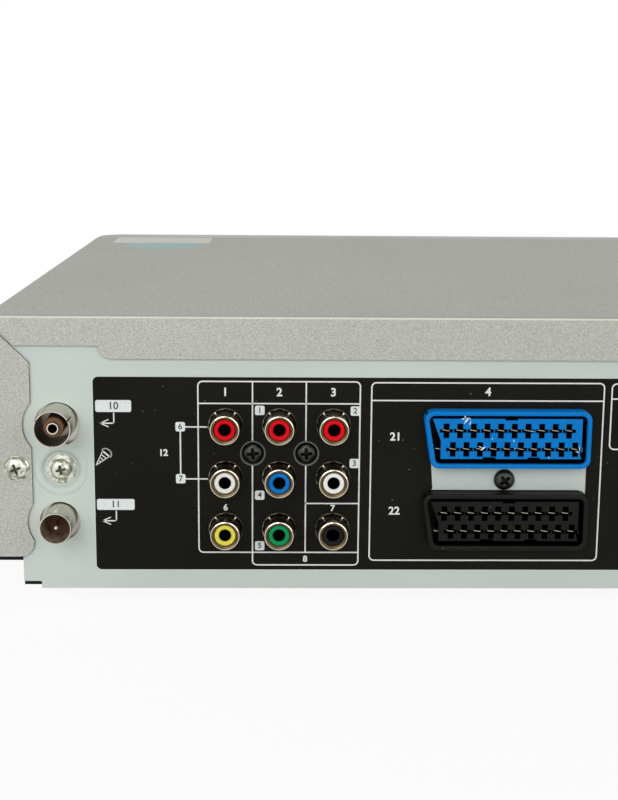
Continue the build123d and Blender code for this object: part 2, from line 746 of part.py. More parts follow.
# ================================================================ aerial sockets
can_y = (y_face + 204.0, y_panel - dish_depth - panel_steel - seat_gap)
can_z = (z_board_top, z_bottom + 60)
dish_x, dish_z = dish_screw
with BuildPart() as tuner_can:
    block(can_x, can_y, can_z)
    inner_x = (can_x[0] + can_wall, can_x[1] - can_wall)
    inner_y = (can_y[0] + can_wall, can_y[1] - can_wall)
    block(inner_x, inner_y, (can_z[0] - 1, can_z[1] - can_wall), Mode.SUBTRACT)
    anchor = 5.0
    anchor_z = (dish_z - anchor, dish_z + anchor)
    block((dish_x - anchor, dish_x + anchor), (can_y[1] - 4, can_y[1]), anchor_z)
    spigot(dish_x, (can_y[1] - 9, can_y[1] + 1), dish_z, screw_bore, Mode.SUBTRACT, bore_sides)
save(tuner_can, "tuner_can")

aerial_y = (can_y[1], y_panel + aerial_reach)
rf_y = (can_y[1], y_panel + rf_reach)
sleeves = ((aerial_at, aerial_radii, aerial_y), (rf_at, rf_radii, rf_y))
tube = (pin_radius + 0.3, pin_radius + 0.7)
with BuildPart() as aerial_shells:
    for (x, z), (inner, outer), along in sleeves:
        spigot(x, along, z, outer, sides=round_sides)
        spigot(x, (along[0] + 1, along[1] + 1), z, inner, Mode.SUBTRACT, round_sides)
    with Locations((aerial_at[0], aerial_y[1], aerial_at[1])):
        Box(4 * aerial_radii[1], 7.0, 0.7, mode=Mode.SUBTRACT)
save(aerial_shells, "aerial_shells")

with BuildPart() as aerial_insulators:
    for (x, z), (inner, outer), along in sleeves:
        spigot(x, (along[0] + 1, along[0] + 4), z, inner, sides=round_sides)
    x, z = aerial_at
    spigot(x, (aerial_y[0] + 3, aerial_y[1] - 3), z, insulator_radius, sides=round_sides)
    spigot(x, (aerial_y[0] + 4, aerial_y[1]), z, tube[1], Mode.SUBTRACT, jack_sides)
    spigot(rf_at[0], (rf_y[0] + 2, rf_y[1]), rf_at[1], pin_radius, Mode.SUBTRACT, bore_sides)
save(aerial_insulators, "aerial_insulators")

with BuildPart() as aerial_contacts:
    spigot(x, (aerial_y[0] + 4, aerial_y[1] - 1.5), z, tube[1], sides=jack_sides)
    spigot(x, (aerial_y[0] + 5, aerial_y[1]), z, tube[0], Mode.SUBTRACT, jack_sides)
    spigot(rf_at[0], (rf_y[0] + 2, rf_y[1] - 0.5), rf_at[1], pin_radius, sides=bore_sides)
save(aerial_contacts, "aerial_contacts")

# ================================================================ phono jacks
insert_radius = jack_radius - jack_wall
rear_root = y_panel - jack_root
front_root = y_face + front_jack_depth
rear_jacks = [(x, z, rear_root, y_panel + jack_reach) for x in columns for z in rows]
front_jack_spots = [(x, z, front_root, y_face - jack_proud) for x, z in front_jacks]
jacks = rear_jacks + front_jack_spots
with BuildPart() as jack_shells:
    for x, z, root, tip in jacks:
        spigot(x, sorted((root, tip)), z, jack_radius, sides=jack_sides)
        through = (min(root, tip) - 1, max(root, tip) + 1)
        spigot(x, through, z, insert_radius, Mode.SUBTRACT, jack_sides)
save(jack_shells, "jack_shells")

with BuildPart() as jack_block:
    block_x = (columns[0] - jack_margin, columns[-1] + jack_margin)
    block(block_x, (rear_root - jack_block_depth, rear_root), (z_board_top, rows[-1] + jack_margin))
    for x, z in jack_screws:
        spigot(x, (rear_root - screw_length - 1, y_panel), z, screw_bore, Mode.SUBTRACT, bore_sides)
    front_x = (front_jacks[0][0] - jack_margin, front_jacks[-1][0] + jack_margin)
    z = front_jacks[0][1]
    block(front_x, (front_root, y_front_board), (z - 6, z + 6))
save(jack_block, "jack_block")

colours = {  # the columns of the rear come one after the other, each from the bottom up
    "red": [jacks[2], jacks[5], jacks[8], jacks[11]],
    "white": [jacks[1], jacks[7], jacks[10]],
    "yellow": [jacks[6], jacks[9]],
    "blue": [jacks[4]],
    "green": [jacks[3]],
    "black": [jacks[0]],
}
for colour, places in colours.items():
    with BuildPart() as inserts:
        for x, z, root, tip in places:
            way = 1 if tip > root else -1
            spigot(x, sorted((root, tip - way * insert_sunk)), z, insert_radius, sides=jack_sides)
            spigot(x, sorted((root + way * 0.6, tip)), z, jack_bore, Mode.SUBTRACT, bore_sides)
    save(inserts, f"jack_inserts_{colour}")

# ================================================================ scart, video and mains sockets
half_row = scart_pitch * (scart_pins - 1) / 2
contact_spots = [(n * scart_pitch - half_row, 0.0) for n in range(scart_pins)]
contact_spots += [((n - 0.5) * scart_pitch - half_row, -scart_row_gap) for n in range(scart_pins)]
rim_spot = (half_row + scart_pitch / 2, -scart_row_gap)
y_scart = y_panel + scart_reach
for name, row_z in scart_sockets.items():
    face = Plane(origin=(scart_x, y_scart, row_z), x_dir=(1, 0, 0), z_dir=(0, -1, 0))
    with BuildPart() as socket:
        with BuildSketch(face):
            scart_outline()
        extrude(amount=scart_depth)
        with BuildSketch(face):
            scart_outline(-scart_rim)
            scart_block()
        extrude(amount=groove_depth, mode=Mode.SUBTRACT)
        with BuildSketch(face):
            with Locations(*contact_spots, rim_spot):
                Rectangle(*scart_slot)
        extrude(amount=slot_depth, mode=Mode.SUBTRACT)
    save(socket, name)

with BuildPart() as scart_contacts:
    contact_y = (y_scart - slot_depth, y_scart - 3.0)
    for row_z in scart_sockets.values():
        for dx, dz in contact_spots:
            x = scart_x + dx
            z = row_z + dz + 0.2
            block((x - contact_width / 2, x + contact_width / 2), contact_y, (z, z + 1.4))
save(scart_contacts, "scart_contacts")

with BuildPart() as video_socket:
    x, z = video_socket_at
    ring = video_radius
    box_half = video_radius + 0.6
    box_y = (y_panel - 12, y_panel - panel_steel - seat_gap)
    block((x - box_half, x + box_half), box_y, (z - box_half, z + box_half))
    block((x - 5, x + 5), (y_panel - 12, y_panel - 3), (z_board_top, z))
    spigot(x, (y_panel - 10, y_panel + 0.8), z, ring, sides=jack_sides)
    spigot(x, (y_panel - 6, y_panel + 1), z, ring - 1.2, Mode.SUBTRACT, jack_sides)
    spigot(x, (y_panel - 6.5, y_panel - 1), z, ring - 1.8, sides=jack_sides)
    with Locations(*[(x + dx, y_panel, z + dz) for dx, dz in video_pins]):
        Box(1.0, 8.0, 1.0, mode=Mode.SUBTRACT)
save(video_socket, "video_socket")

with BuildPart() as mains_inlet:
    x, z = inlet_at
    wide, tall = inlet_size
    front_end = y_panel - inlet_body
    block((x - wide / 2, x + wide / 2), (front_end, y_panel + 0.5), (z - tall / 2, z + tall / 2))
    collar_y = (y_panel - 3, y_panel - panel_steel - seat_gap)
    block((x - wide / 2 - 2, x + wide / 2 + 2), collar_y, (z - tall / 2, z + tall / 2))
    block((x - wide / 2, x + wide / 2), (front_end, y_panel - 8), (z_power, z))
    pocket_y = (y_panel - inlet_pocket, y_panel + 1)
    pins_x = (x - inlet_pin_pitch / 2, x + inlet_pin_pitch / 2)
    for pin_x in pins_x:
        spigot(pin_x, pocket_y, z, inlet_lobe, Mode.SUBTRACT, jack_sides)
    waist = inlet_lobe - 0.8
    block((x - 3, x + 3), pocket_y, (z - waist, z + waist), Mode.SUBTRACT)
    for pin_x in pins_x:
        spigot(pin_x, (pocket_y[0] - 1, y_panel - 4), z, inlet_pin, sides=bore_sides)
save(mains_inlet, "mains_inlet")

# ================================================================ disc loader
wall_x = (loader_half - loader_wall, loader_half)
loader_y = (loader_front, loader_rear)
guide_z = (z_tray - 2.1, z_tray - running_gap)
keeper_z = (z_tray + tray_depth + running_gap, z_tray + tray_depth + 2)
well_x = traverse_half + 1.5
well_y = (spindle_y - traverse_half + 4, loader_rear - 8)
gear_radius = gear_module * gear_teeth / 2
gear_x = rack_x - gear_radius
gear_z = (z_tray - 3.0, z_tray + 1.1)
pivot_y, pivot_z = traverse_pivot
bridge_z = (z_loader_top, z_loader_top + bridge_steel)

with BuildPart() as loader_frame:
    block((tray_x - loader_half, tray_x + loader_half), loader_y, (z_loader, z_loader + loader_wall))
    for side in (1, -1):
        block(pair(side, *wall_x, tray_x), loader_y, (z_loader, z_loader_top))
        block(pair(side, tray_half - 3, loader_half, tray_x), loader_y, guide_z)
        for y in (loader_front, loader_rear - 30):
            block(pair(side, tray_half - 2, loader_half, tray_x), (y, y + 8), keeper_z)
        trunnion_x = pair(side, well_x - 0.5, well_x + 4, tray_x)
        block(trunnion_x, (pivot_y - 5, pivot_y + 5), (z_loader, pivot_z + 4.5))
    well_z = (z_loader - 1, z_loader + loader_wall + 1)
    block((tray_x - well_x, tray_x + well_x), well_y, well_z, Mode.SUBTRACT)
    bore_x = (tray_x - well_x - 5, tray_x + well_x + 5)
    cross_pin(bore_x, pivot_y, pivot_z, trunnion_radius + slip_gap, Mode.SUBTRACT, fit_sides)
    post(gear_x, gear_y, (z_loader, gear_z[0] - slip_gap), 2 * gear_post, sides=jack_sides)
    post(gear_x, gear_y, (z_loader, gear_z[1] - 0.5), gear_post)
save(loader_frame, "loader_frame")

tray_y = (y_face + tray_door_wall - front_reach, tray_rear)
rack_z = (z_tray - 2.2, z_tray + 1.6)
rack_y = (gear_y - 10.0, tray_rear - 1)
tray_tall = (z_tray - 1, z_tray + tray_depth + 1)
tooth_tip = 0.65 * gear_module
tooth_root = 1.1 * gear_module
tooth_pitch = pi * gear_module
with BuildPart() as disc_tray:
    block((tray_x - tray_half, tray_x + tray_half), tray_y, (z_tray, z_tray + tray_depth))
    under_x = (tray_x - tray_half + 4, tray_x + tray_half - 4)
    block(under_x, (tray_y[0] + 3, tray_rear + 1), (z_tray - 1, tray_plate), Mode.SUBTRACT)
    post(tray_x, spindle_y, (disc_well[1], tray_tall[1]), disc_well[0], Mode.SUBTRACT)
    post(tray_x, spindle_y, (small_well[1], tray_tall[1]), small_well[0], Mode.SUBTRACT)
    shelf_x = (tray_x - tray_half + 14.5, tray_x + tray_half - 14.5)
    block(shelf_x, (spindle_y + 30, tray_rear + 1), (disc_well[1], tray_tall[1]), Mode.SUBTRACT)
    post(tray_x, spindle_y, tray_tall, turntable_radius + 3, Mode.SUBTRACT)
    slot = (tray_x - tray_slot, tray_x + tray_slot)
    block(slot, (spindle_y, tray_rear + 1), tray_tall, Mode.SUBTRACT)
    # the rack under the plate, its teeth towards the side with the gear
    block((rack_x + tooth_root, rack_x + tooth_root + 1.6), rack_y, rack_z)
    with BuildSketch(level(rack_z[0])):
        thick = tooth_pitch / 4 - gear_backlash / 4
        with BuildLine():
            Polyline(
                (-tooth_tip, thick - tooth_tip * tooth_flank),
                (tooth_root + 0.2, thick + tooth_root * tooth_flank),
                (tooth_root + 0.2, -thick - tooth_root * tooth_flank),
                (-tooth_tip, -thick + tooth_tip * tooth_flank),
                close=True,
            )
        tooth = make_face(mode=Mode.PRIVATE)
        count = int((rack_y[1] - gear_y) / tooth_pitch) - 1
        with Locations(*[(rack_x, gear_y + (n + 0.5) * tooth_pitch) for n in range(-2, count)]):
            add(tooth)
    extrude(amount=rack_z[1] - rack_z[0])
save(disc_tray, "disc_tray")

with BuildPart() as tray_door:
    door_y = (y_face - front_reach, y_face - front_reach + tray_door_wall - slip_gap)
    with Locations((tray_x, (door_y[0] + door_y[1]) / 2, tray_door_z)):
        Box(tray_door_size[0], door_y[1] - door_y[0], tray_door_size[1])
    chamfer(tray_door.edges().filter_by_position(Axis.Y, door_y[0] - 0.01, door_y[0] + 0.01), crown_edge)
save(tray_door, "tray_door")

with BuildPart() as tray_gear:
    with BuildSketch(Plane(origin=(gear_x, gear_y, gear_z[0]))):
        base = gear_radius * cos(pressure_angle)
        outer = gear_radius + 0.8 * gear_module
        root = gear_radius - 0.85 * gear_module
        half_tooth = pi / (2 * gear_teeth) - gear_backlash / (4 * gear_radius)
        swell = tan(pressure_angle) - pressure_angle
        profile = [(root, half_tooth + swell)]
        for radius in (base, gear_radius, outer):
            roll = acos(min(1.0, base / radius))
            profile.append((radius, half_tooth + swell - (tan(roll) - roll)))
        corners = []
        for n in range(gear_teeth):
            middle = 2 * pi * n / gear_teeth
            corners += [(r * cos(middle - a), r * sin(middle - a)) for r, a in profile]
            corners += [(r * cos(middle + a), r * sin(middle + a)) for r, a in reversed(profile)]
        with BuildLine():
            Polyline(*corners, close=True)
        make_face()
    extrude(amount=gear_z[1] - gear_z[0])
    post(gear_x, gear_y, (gear_z[0] - 1, gear_z[1] + 1), gear_post + slip_gap, Mode.SUBTRACT)
save(tray_gear, "tray_gear")

z_motor = z_traverse + 2.0
rod_y = (spindle_y + 6.0, spindle_y + 82.0)
with BuildPart() as traverse_base:
    plate_x = (tray_x - traverse_half, tray_x + traverse_half)
    block(plate_x, (well_y[0] + 4, pivot_y), (z_traverse, z_motor))
    cross_pin((bore_x[0] + 1, bore_x[1] - 1), pivot_y, pivot_z, trunnion_radius, sides=fit_sides)
    window_y = (spindle_y + motor_radius + 1, rod_y[1])
    block((tray_x - 12, tray_x + 12), window_y, (z_traverse - 1, z_motor + 1), Mode.SUBTRACT)
    for x in (tray_x - rod_x, tray_x + rod_x):
        spigot(x, rod_y, rod_z, rod_radius, sides=fit_sides)
        for y in (rod_y[0], rod_y[1] - 5):
            block((x - 3, x + 3), (y, y + 5), (z_traverse, rod_z + 3))
save(traverse_base, "traverse_base")

z_turntable = z_tray + 0.2
with BuildPart() as spindle_motor:
    post(tray_x, spindle_y, (z_motor, z_turntable - 2.0), motor_radius, sides=round_sides)
    post(tray_x, spindle_y, (z_turntable - 2.1, z_turntable - 0.5), 3.5, sides=jack_sides)
    bore_z = (z_motor + 1, z_turntable + 1)
    post(tray_x, spindle_y, bore_z, spindle_radius + slip_gap, Mode.SUBTRACT, fit_sides)
save(spindle_motor, "spindle_motor")

with BuildPart() as turntable:
    z_hub = z_turntable + 4.6
    post(tray_x, spindle_y, (z_motor + 1.2, z_turntable), spindle_radius, sides=fit_sides)
    post(tray_x, spindle_y, (z_turntable - 0.3, z_hub), turntable_radius, sides=round_sides)
    with BuildSketch(Plane(origin=(tray_x, spindle_y, z_hub))):
        RegularPolygon(hub_radius, round_sides)
    extrude(amount=hub_height, taper=25)
save(turntable, "turntable")

with BuildPart() as laser_sled:
    sled_y = (sled_front, sled_front + sled_length)
    block((tray_x - sled_half, tray_x + sled_half), sled_y, (rod_z - 3.6, rod_z + 3.2))
    block((tray_x - 11, tray_x + 11), (sled_y[0] + 3, sled_y[1] - 3), (z_traverse + 0.2, rod_z))
    post(tray_x, lens_y, (rod_z, rod_z + 6.0), lens_radius + 1, sides=jack_sides)
    post(tray_x, lens_y, (rod_z + 5.0, rod_z + 7.0), lens_radius, Mode.SUBTRACT, jack_sides)
    for x in (tray_x - rod_x, tray_x + rod_x):
        along = (sled_y[0] - 1, sled_y[1] + 1)
        spigot(x, along, rod_z, rod_radius + slip_gap, Mode.SUBTRACT, fit_sides)
save(laser_sled, "laser_sled")

with BuildPart() as clamp_bridge:
    bridge_x = (tray_x - loader_half, tray_x + loader_half)
    block(bridge_x, (spindle_y - bridge_half, spindle_y + bridge_half), bridge_z)
    hole_z = (bridge_z[0] - 1, bridge_z[1] + 1)
    post(tray_x, spindle_y, hole_z, clamp_radius, Mode.SUBTRACT, round_sides)
    for y in (spindle_y - bridge_half, spindle_y + bridge_half - 1):
        block(bridge_x, (y, y + 1), (bridge_z[0], bridge_z[0] + 3.7))
save(clamp_bridge, "clamp_bridge")

with BuildPart() as disc_clamp:
    lift = (z_tray + tray_depth + 0.4, bridge_z[1] + 1)
    post(tray_x, spindle_y, lift, clamp_radius - 0.5, sides=round_sides)
    lid = (bridge_z[1] + slip_gap, bridge_z[1] + 2.2)
    post(tray_x, spindle_y, lid, clamp_radius + 3, sides=round_sides)
    post(tray_x, spindle_y, (z_tray, z_tray + 11), hub_radius + 0.6, Mode.SUBTRACT, jack_sides)
save(disc_clamp, "disc_clamp")

# ================================================================ cassette deck
z_plate = z_deck + deck_steel
inner_half = basket_half + running_gap
bracket_half = inner_half + slider_wall + running_gap
rail_height = z_bottom + 67.0
reels = {
    "supply_reel": (deck_x - reel_spacing / 2, reel_y),
    "takeup_reel": (deck_x + reel_spacing / 2, reel_y),
}
reach = hypot(pinch_pivot[0] - capstan_at[0], pinch_pivot[1] - capstan_at[1])
contact = capstan_radius + pinch_radius
spread = acos((reach**2 + pinch_arm_length**2 - contact**2) / (2 * reach * pinch_arm_length))
line = atan2(capstan_at[1] - pinch_pivot[1], capstan_at[0] - pinch_pivot[0])
pinch_rest = line - spread - radians(pinch_swing)
pinch_at = (
    pinch_pivot[0] + pinch_arm_length * cos(pinch_rest),
    pinch_pivot[1] + pinch_arm_length * sin(pinch_rest),
)
z_pinch = (z_plate + 14.0, z_plate + 30.0)
z_reel = z_plate + 0.6

with BuildPart() as deck_chassis:
    block((deck_x - deck_half, deck_x + deck_half), deck_y, (z_deck, z_plate))
    for side in (1, -1):
        bracket_x = pair(side, bracket_half, bracket_half + deck_steel, deck_x)
        block(bracket_x, deck_bracket_y, (z_deck, deck_bracket_z))
        groove_x = pair(side, bracket_half - 1, bracket_half + deck_steel + 1, deck_x)
        groove_y = (basket_y[0] + 3, basket_y[1] - 3 + basket_slide)
        groove_z = (rail_height - tongue_half - running_gap, rail_height + tongue_half + running_gap)
        block(groove_x, groove_y, groove_z, Mode.SUBTRACT)
    for x, y in reels.values():
        post(x, y, (z_plate, z_plate + reel_height), reel_post, sides=fit_sides)
        post(x, y, (z_plate, z_reel), 2 * reel_post, sides=jack_sides)
    post(*capstan_at, (z_deck, z_plate + 10), bearing_radius, sides=jack_sides)
    bore_z = (z_deck - 1, z_plate + 11)
    post(*capstan_at, bore_z, capstan_radius + slip_gap, Mode.SUBTRACT, fit_sides)
    post(*pinch_pivot, (z_plate, z_pinch[0] - 2), 2 * reel_post, sides=jack_sides)
    post(*pinch_pivot, (z_plate, z_pinch[1] + 1), reel_post, sides=fit_sides)
save(deck_chassis, "deck_chassis")

drum_axis = (0, sin(radians(drum_tilt)), cos(radians(drum_tilt)))


def drum_rod(low, high, radius, sides, mode=Mode.ADD):
    """A rod on the tilted axis of the drum, between two distances from its foot."""
    foot = Vector(*drum_at, z_plate + 4.0)
    rod(foot + Vector(*drum_axis) * low, drum_axis, high - low, radius, sides, mode)


with BuildPart() as lower_drum:
    post(*drum_at, (z_plate, z_plate + 8), drum_radius - 8, sides=round_sides)
    drum_rod(0, drum_split, drum_radius, drum_sides)
    drum_rod(5, drum_split + 1, drum_shaft + slip_gap, fit_sides, Mode.SUBTRACT)
save(lower_drum, "lower_drum")

with BuildPart() as head_drum:
    drum_rod(drum_split + running_gap, drum_split + 15, drum_radius, drum_sides)
    drum_rod(drum_split + 15, drum_split + 16, drum_radius - 1.5, drum_sides)
    drum_rod(drum_split + 15, drum_split + 17, drum_radius - 6, drum_sides, Mode.SUBTRACT)
    drum_rod(drum_split + 14.9, drum_split + 19, 9.0, round_sides)
    drum_rod(drum_split - 9, drum_split + 1, drum_shaft, fit_sides)
save(head_drum, "head_drum")

with BuildPart() as capstan:
    z_flywheel = (z_floor + 2, z_deck - 2.2)
    post(*capstan_at, (z_flywheel[0], z_pinch[1] + 4), capstan_radius, sides=fit_sides)
    post(*capstan_at, z_flywheel, flywheel_radius)
save(capstan, "capstan")

with BuildPart() as pinch_arm:
    post(*pinch_pivot, (z_pinch[0] - 2 + slip_gap, z_pinch[1]), 4.5, sides=jack_sides)
    for z in (z_pinch[0] - 1.8, z_pinch[1] + running_gap):
        with BuildSketch(level(z)):
            turn = Location((*pinch_pivot, 0), (0, 0, degrees(pinch_rest)))
            with Locations(turn * Location((pinch_arm_length / 2, 0))):
                Rectangle(pinch_arm_length + pinch_arm_width, pinch_arm_width)
        extrude(amount=1.5)
    post(*pinch_at, (z_pinch[0] - 1, z_pinch[1] + 1), pinch_shaft, sides=fit_sides)
    post(*pinch_pivot, (z_plate, z_pinch[1] + 10), reel_post + slip_gap, Mode.SUBTRACT, fit_sides)
save(pinch_arm, "pinch_arm")

with BuildPart() as pinch_roller:
    post(*pinch_at, z_pinch, pinch_radius, sides=round_sides)
    bore_z = (z_pinch[0] - 1, z_pinch[1] + 1)
    post(*pinch_at, bore_z, pinch_shaft + slip_gap, Mode.SUBTRACT, fit_sides)
save(pinch_roller, "pinch_roller")

for name, (x, y) in reels.items():
    with BuildPart() as reel:
        post(x, y, (z_reel + slip_gap, z_reel + 2), reel_flange, sides=round_sides)
        post(x, y, (z_reel + 0.4, z_plate + reel_height + 1), reel_hub, sides=jack_sides)
        for turn in (0, 60, 120):
            with Locations(Location((x, y, z_plate + 8), (0, 0, turn))):
                Box(3 * reel_hub, 1.6, 12)
        bore_z = (z_plate, z_plate + reel_height + slip_gap)
        post(x, y, bore_z, reel_post + slip_gap, Mode.SUBTRACT, fit_sides)
    save(reel, name)

slot_pins = [basket_y[0] + 12, basket_y[1] - 12]
pin_z = z_bottom + 58.0
tie_y = (basket_y[0] + 2, basket_y[0] + 10)
tie_z = (deck_bracket_z + 0.4, deck_bracket_z + 1.4)
with BuildPart() as carriage_slider:
    for side in (1, -1):
        plate_x = pair(side, inner_half, inner_half + slider_wall, deck_x)
        block(plate_x, basket_y, (z_bottom + 34, z_bottom + 71))
        tongue_y = (basket_y[0] + 4, basket_y[1] - 4)
        tongue_z = (rail_height - tongue_half, rail_height + tongue_half)
        block(pair(side, inner_half, bracket_half + deck_steel, deck_x), tongue_y, tongue_z)
        block(plate_x, tie_y, (z_bottom + 70, tie_z[1]))
        track = carriage_pin + running_gap
        for y in slot_pins:
            track_z = (pin_z - basket_drop - track, pin_z + track)
            block((plate_x[0] - 1, plate_x[1] + 1), (y - track, y + track), track_z, Mode.SUBTRACT)
    block((deck_x - inner_half, deck_x + inner_half), tie_y, tie_z)
save(carriage_slider, "carriage_slider")

with BuildPart() as cassette_carriage:
    for side in (1, -1):
        block(pair(side, basket_half - basket_steel, basket_half, deck_x), basket_y, basket_z)
        shelf_z = (basket_z[0], basket_z[0] + basket_steel)
        block(pair(side, basket_half - 17, basket_half, deck_x), basket_y, shelf_z)
        for y in slot_pins:
            pin_x = pair(side, basket_half - 1, basket_half + slider_wall, deck_x)
            cross_pin(pin_x, y, pin_z, carriage_pin, sides=jack_sides)
    roof_z = (basket_z[1] - basket_steel, basket_z[1])
    block((deck_x - basket_half, deck_x + basket_half), basket_y, roof_z)
    with Locations((deck_x, (basket_y[0] + basket_y[1]) / 2, basket_z[1])):
        with GridLocations(2 * basket_half / 3, 0, 2, 1):
            Box(basket_half / 2, 34, 4, mode=Mode.SUBTRACT)
save(cassette_carriage, "cassette_carriage")
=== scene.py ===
import json
import math

import bmesh
import bpy
from mathutils import Matrix, Vector

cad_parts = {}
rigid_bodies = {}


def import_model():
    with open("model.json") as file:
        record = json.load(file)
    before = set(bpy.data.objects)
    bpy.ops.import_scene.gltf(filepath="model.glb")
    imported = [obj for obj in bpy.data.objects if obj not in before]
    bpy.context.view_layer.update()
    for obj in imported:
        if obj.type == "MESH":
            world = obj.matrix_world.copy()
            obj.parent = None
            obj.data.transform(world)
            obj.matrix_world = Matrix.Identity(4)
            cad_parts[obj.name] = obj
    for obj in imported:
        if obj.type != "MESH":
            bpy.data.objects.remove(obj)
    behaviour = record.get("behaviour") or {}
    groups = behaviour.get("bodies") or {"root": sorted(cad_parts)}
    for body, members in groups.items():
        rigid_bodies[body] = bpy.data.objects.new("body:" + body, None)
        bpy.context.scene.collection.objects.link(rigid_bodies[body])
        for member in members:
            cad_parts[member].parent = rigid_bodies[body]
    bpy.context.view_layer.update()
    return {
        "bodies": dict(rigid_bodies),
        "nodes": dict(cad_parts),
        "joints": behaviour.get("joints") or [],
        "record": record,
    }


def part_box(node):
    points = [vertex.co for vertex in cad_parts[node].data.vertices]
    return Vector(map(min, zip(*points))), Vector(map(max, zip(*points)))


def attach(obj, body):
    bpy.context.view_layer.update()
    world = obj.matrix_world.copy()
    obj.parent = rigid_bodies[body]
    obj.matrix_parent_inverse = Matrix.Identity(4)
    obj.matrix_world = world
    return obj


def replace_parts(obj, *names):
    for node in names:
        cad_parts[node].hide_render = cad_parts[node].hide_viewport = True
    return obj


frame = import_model()
nodes = frame["nodes"]
mm = 0.001
print("frame loaded,", len(nodes), "nodes")

# Faces of the CAD that the new pieces sit on
coverLow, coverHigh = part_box("top_cover")
panelLow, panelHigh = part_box("rear_panel")
panelBottom = panelLow.z
panelFace = panelHigh.y
coverTop = coverHigh.z
coverRear = coverHigh.y


def tint(red, green, blue):
    # a screen colour, 0 to 255, as linear light
    return tuple((c / 255) ** 2.2 for c in (red, green, blue)) + (1.0,)


class Wire:
    # one output of a shader node, so that sums on it add Math nodes
    def __init__(self, shades, socket):
        self.shades = shades
        self.socket = socket

    def sum(self, operation, *others):
        return self.shades.node("ShaderNodeMath", {"operation": operation}, [self, *others])

    def __add__(self, other):
        return self.sum("ADD", other)

    def __sub__(self, other):
        return self.sum("SUBTRACT", other)

    def __mul__(self, other):
        return self.sum("MULTIPLY", other)

    def __rsub__(self, other):
        return self.shades.node("ShaderNodeMath", {"operation": "SUBTRACT"}, [other, self])

    __radd__ = __add__
    __rmul__ = __mul__

    def step(self, low, high):
        # 0 below low, 1 above high, smooth between
        values = {"Value": self, "From Min": low, "From Max": high}
        return self.shades.node("ShaderNodeMapRange", {"interpolation_type": "SMOOTHSTEP"}, values)


class Shades:
    # the nodes of one material or of the world
    def __init__(self, tree):
        self.tree = tree

    def join(self, socket, value):
        if isinstance(value, Wire):
            self.tree.links.new(value.socket, socket)
        else:
            socket.default_value = value

    def node(self, kind, settings=None, values=None, output=0):
        made = self.tree.nodes.new(kind)
        for key, value in (settings or {}).items():
            setattr(made, key, value)
        pairs = values.items() if isinstance(values, dict) else enumerate(values or [])
        for key, value in pairs:
            self.join(made.inputs[key], value)
        return Wire(self, made.outputs[output])


class Finish(Shades):
    def __init__(self, name, colour, roughness, metallic=0.0, shine=0.5):
        self.material = bpy.data.materials.new(name)
        self.material.use_nodes = True
        super().__init__(self.material.node_tree)
        self.shader = self.tree.nodes["Principled BSDF"]
        self.place = self.node("ShaderNodeTexCoord", output="Object")
        self.set("Base Color", colour)
        self.set("Roughness", roughness)
        self.set("Metallic", metallic)
        self.set("Specular IOR Level", shine)

    def set(self, socket, value):
        self.join(self.shader.inputs[socket], value)

    def noise(self, scale, detail=2.0, rough=0.5, place=None):
        values = {"Vector": place or self.place, "Scale": scale, "Detail": detail, "Roughness": rough}
        return self.node("ShaderNodeTexNoise", None, values)

    def specks(self, scale, size):
        # small round spots, 1 inside and 0 between
        values = {"Vector": self.place, "Scale": scale}
        near = self.node("ShaderNodeTexVoronoi", {"feature": "F1"}, values, "Distance")
        return 1.0 - near.step(size * 0.6, size)

    def stretch(self, x, y, z):
        return self.node("ShaderNodeMapping", None, {"Vector": self.place, "Scale": (x, y, z)})

    def axis(self, letter, source="Object"):
        # one coordinate of the place, or of the way the surface faces
        given = self.place if source == "Object" else self.node("ShaderNodeTexCoord", output=source)
        return self.node("ShaderNodeSeparateXYZ", None, [given], letter)

    def mix(self, factor, first, second):
        made = self.tree.nodes.new("ShaderNodeMix")
        made.data_type = "RGBA"
        for name, value in (("Factor", factor), ("A", first), ("B", second)):
            kind = "VALUE" if name == "Factor" else "RGBA"
            socket = next(s for s in made.inputs if s.name == name and s.type == kind)
            self.join(socket, value)
        return Wire(self, next(s for s in made.outputs if s.type == "RGBA"))

    def bump(self, height, distance, strength=1.0):
        values = {"Height": height, "Distance": distance, "Strength": strength}
        self.set("Normal", self.node("ShaderNodeBump", None, values, "Normal"))

    def on(self, *names):
        # puts this finish on CAD nodes
        for name in names:
            mesh = nodes[name].data
            mesh.materials.clear()
            mesh.materials.append(self.material)
        return self


# Finishes of the case
coverLook = {
    "light": (222, 223, 213),
    "dark": (152, 153, 145),
    "faded": (150, 149, 141),
    "grain": 3600,
    "soft": 1500,
    # painted highlight along the bend over the rear
    "paintedSheen": (232, 230, 214),  # the bend over the rear
    "sheenBand": (-0.0006, -0.0004),
    "shadow": (100, 100, 94),  # the thin line before the bend
    "shadowBand": (-0.0022, -0.0014),
    "flat": (-0.0002, -0.0001),
    # the bare steel of the cut edges, darkened with painted shade where they face down or inward
    "bare": (56, 58, 53),  # the cut edges of the sheet
    "turned": (0.3, 0.5),
}


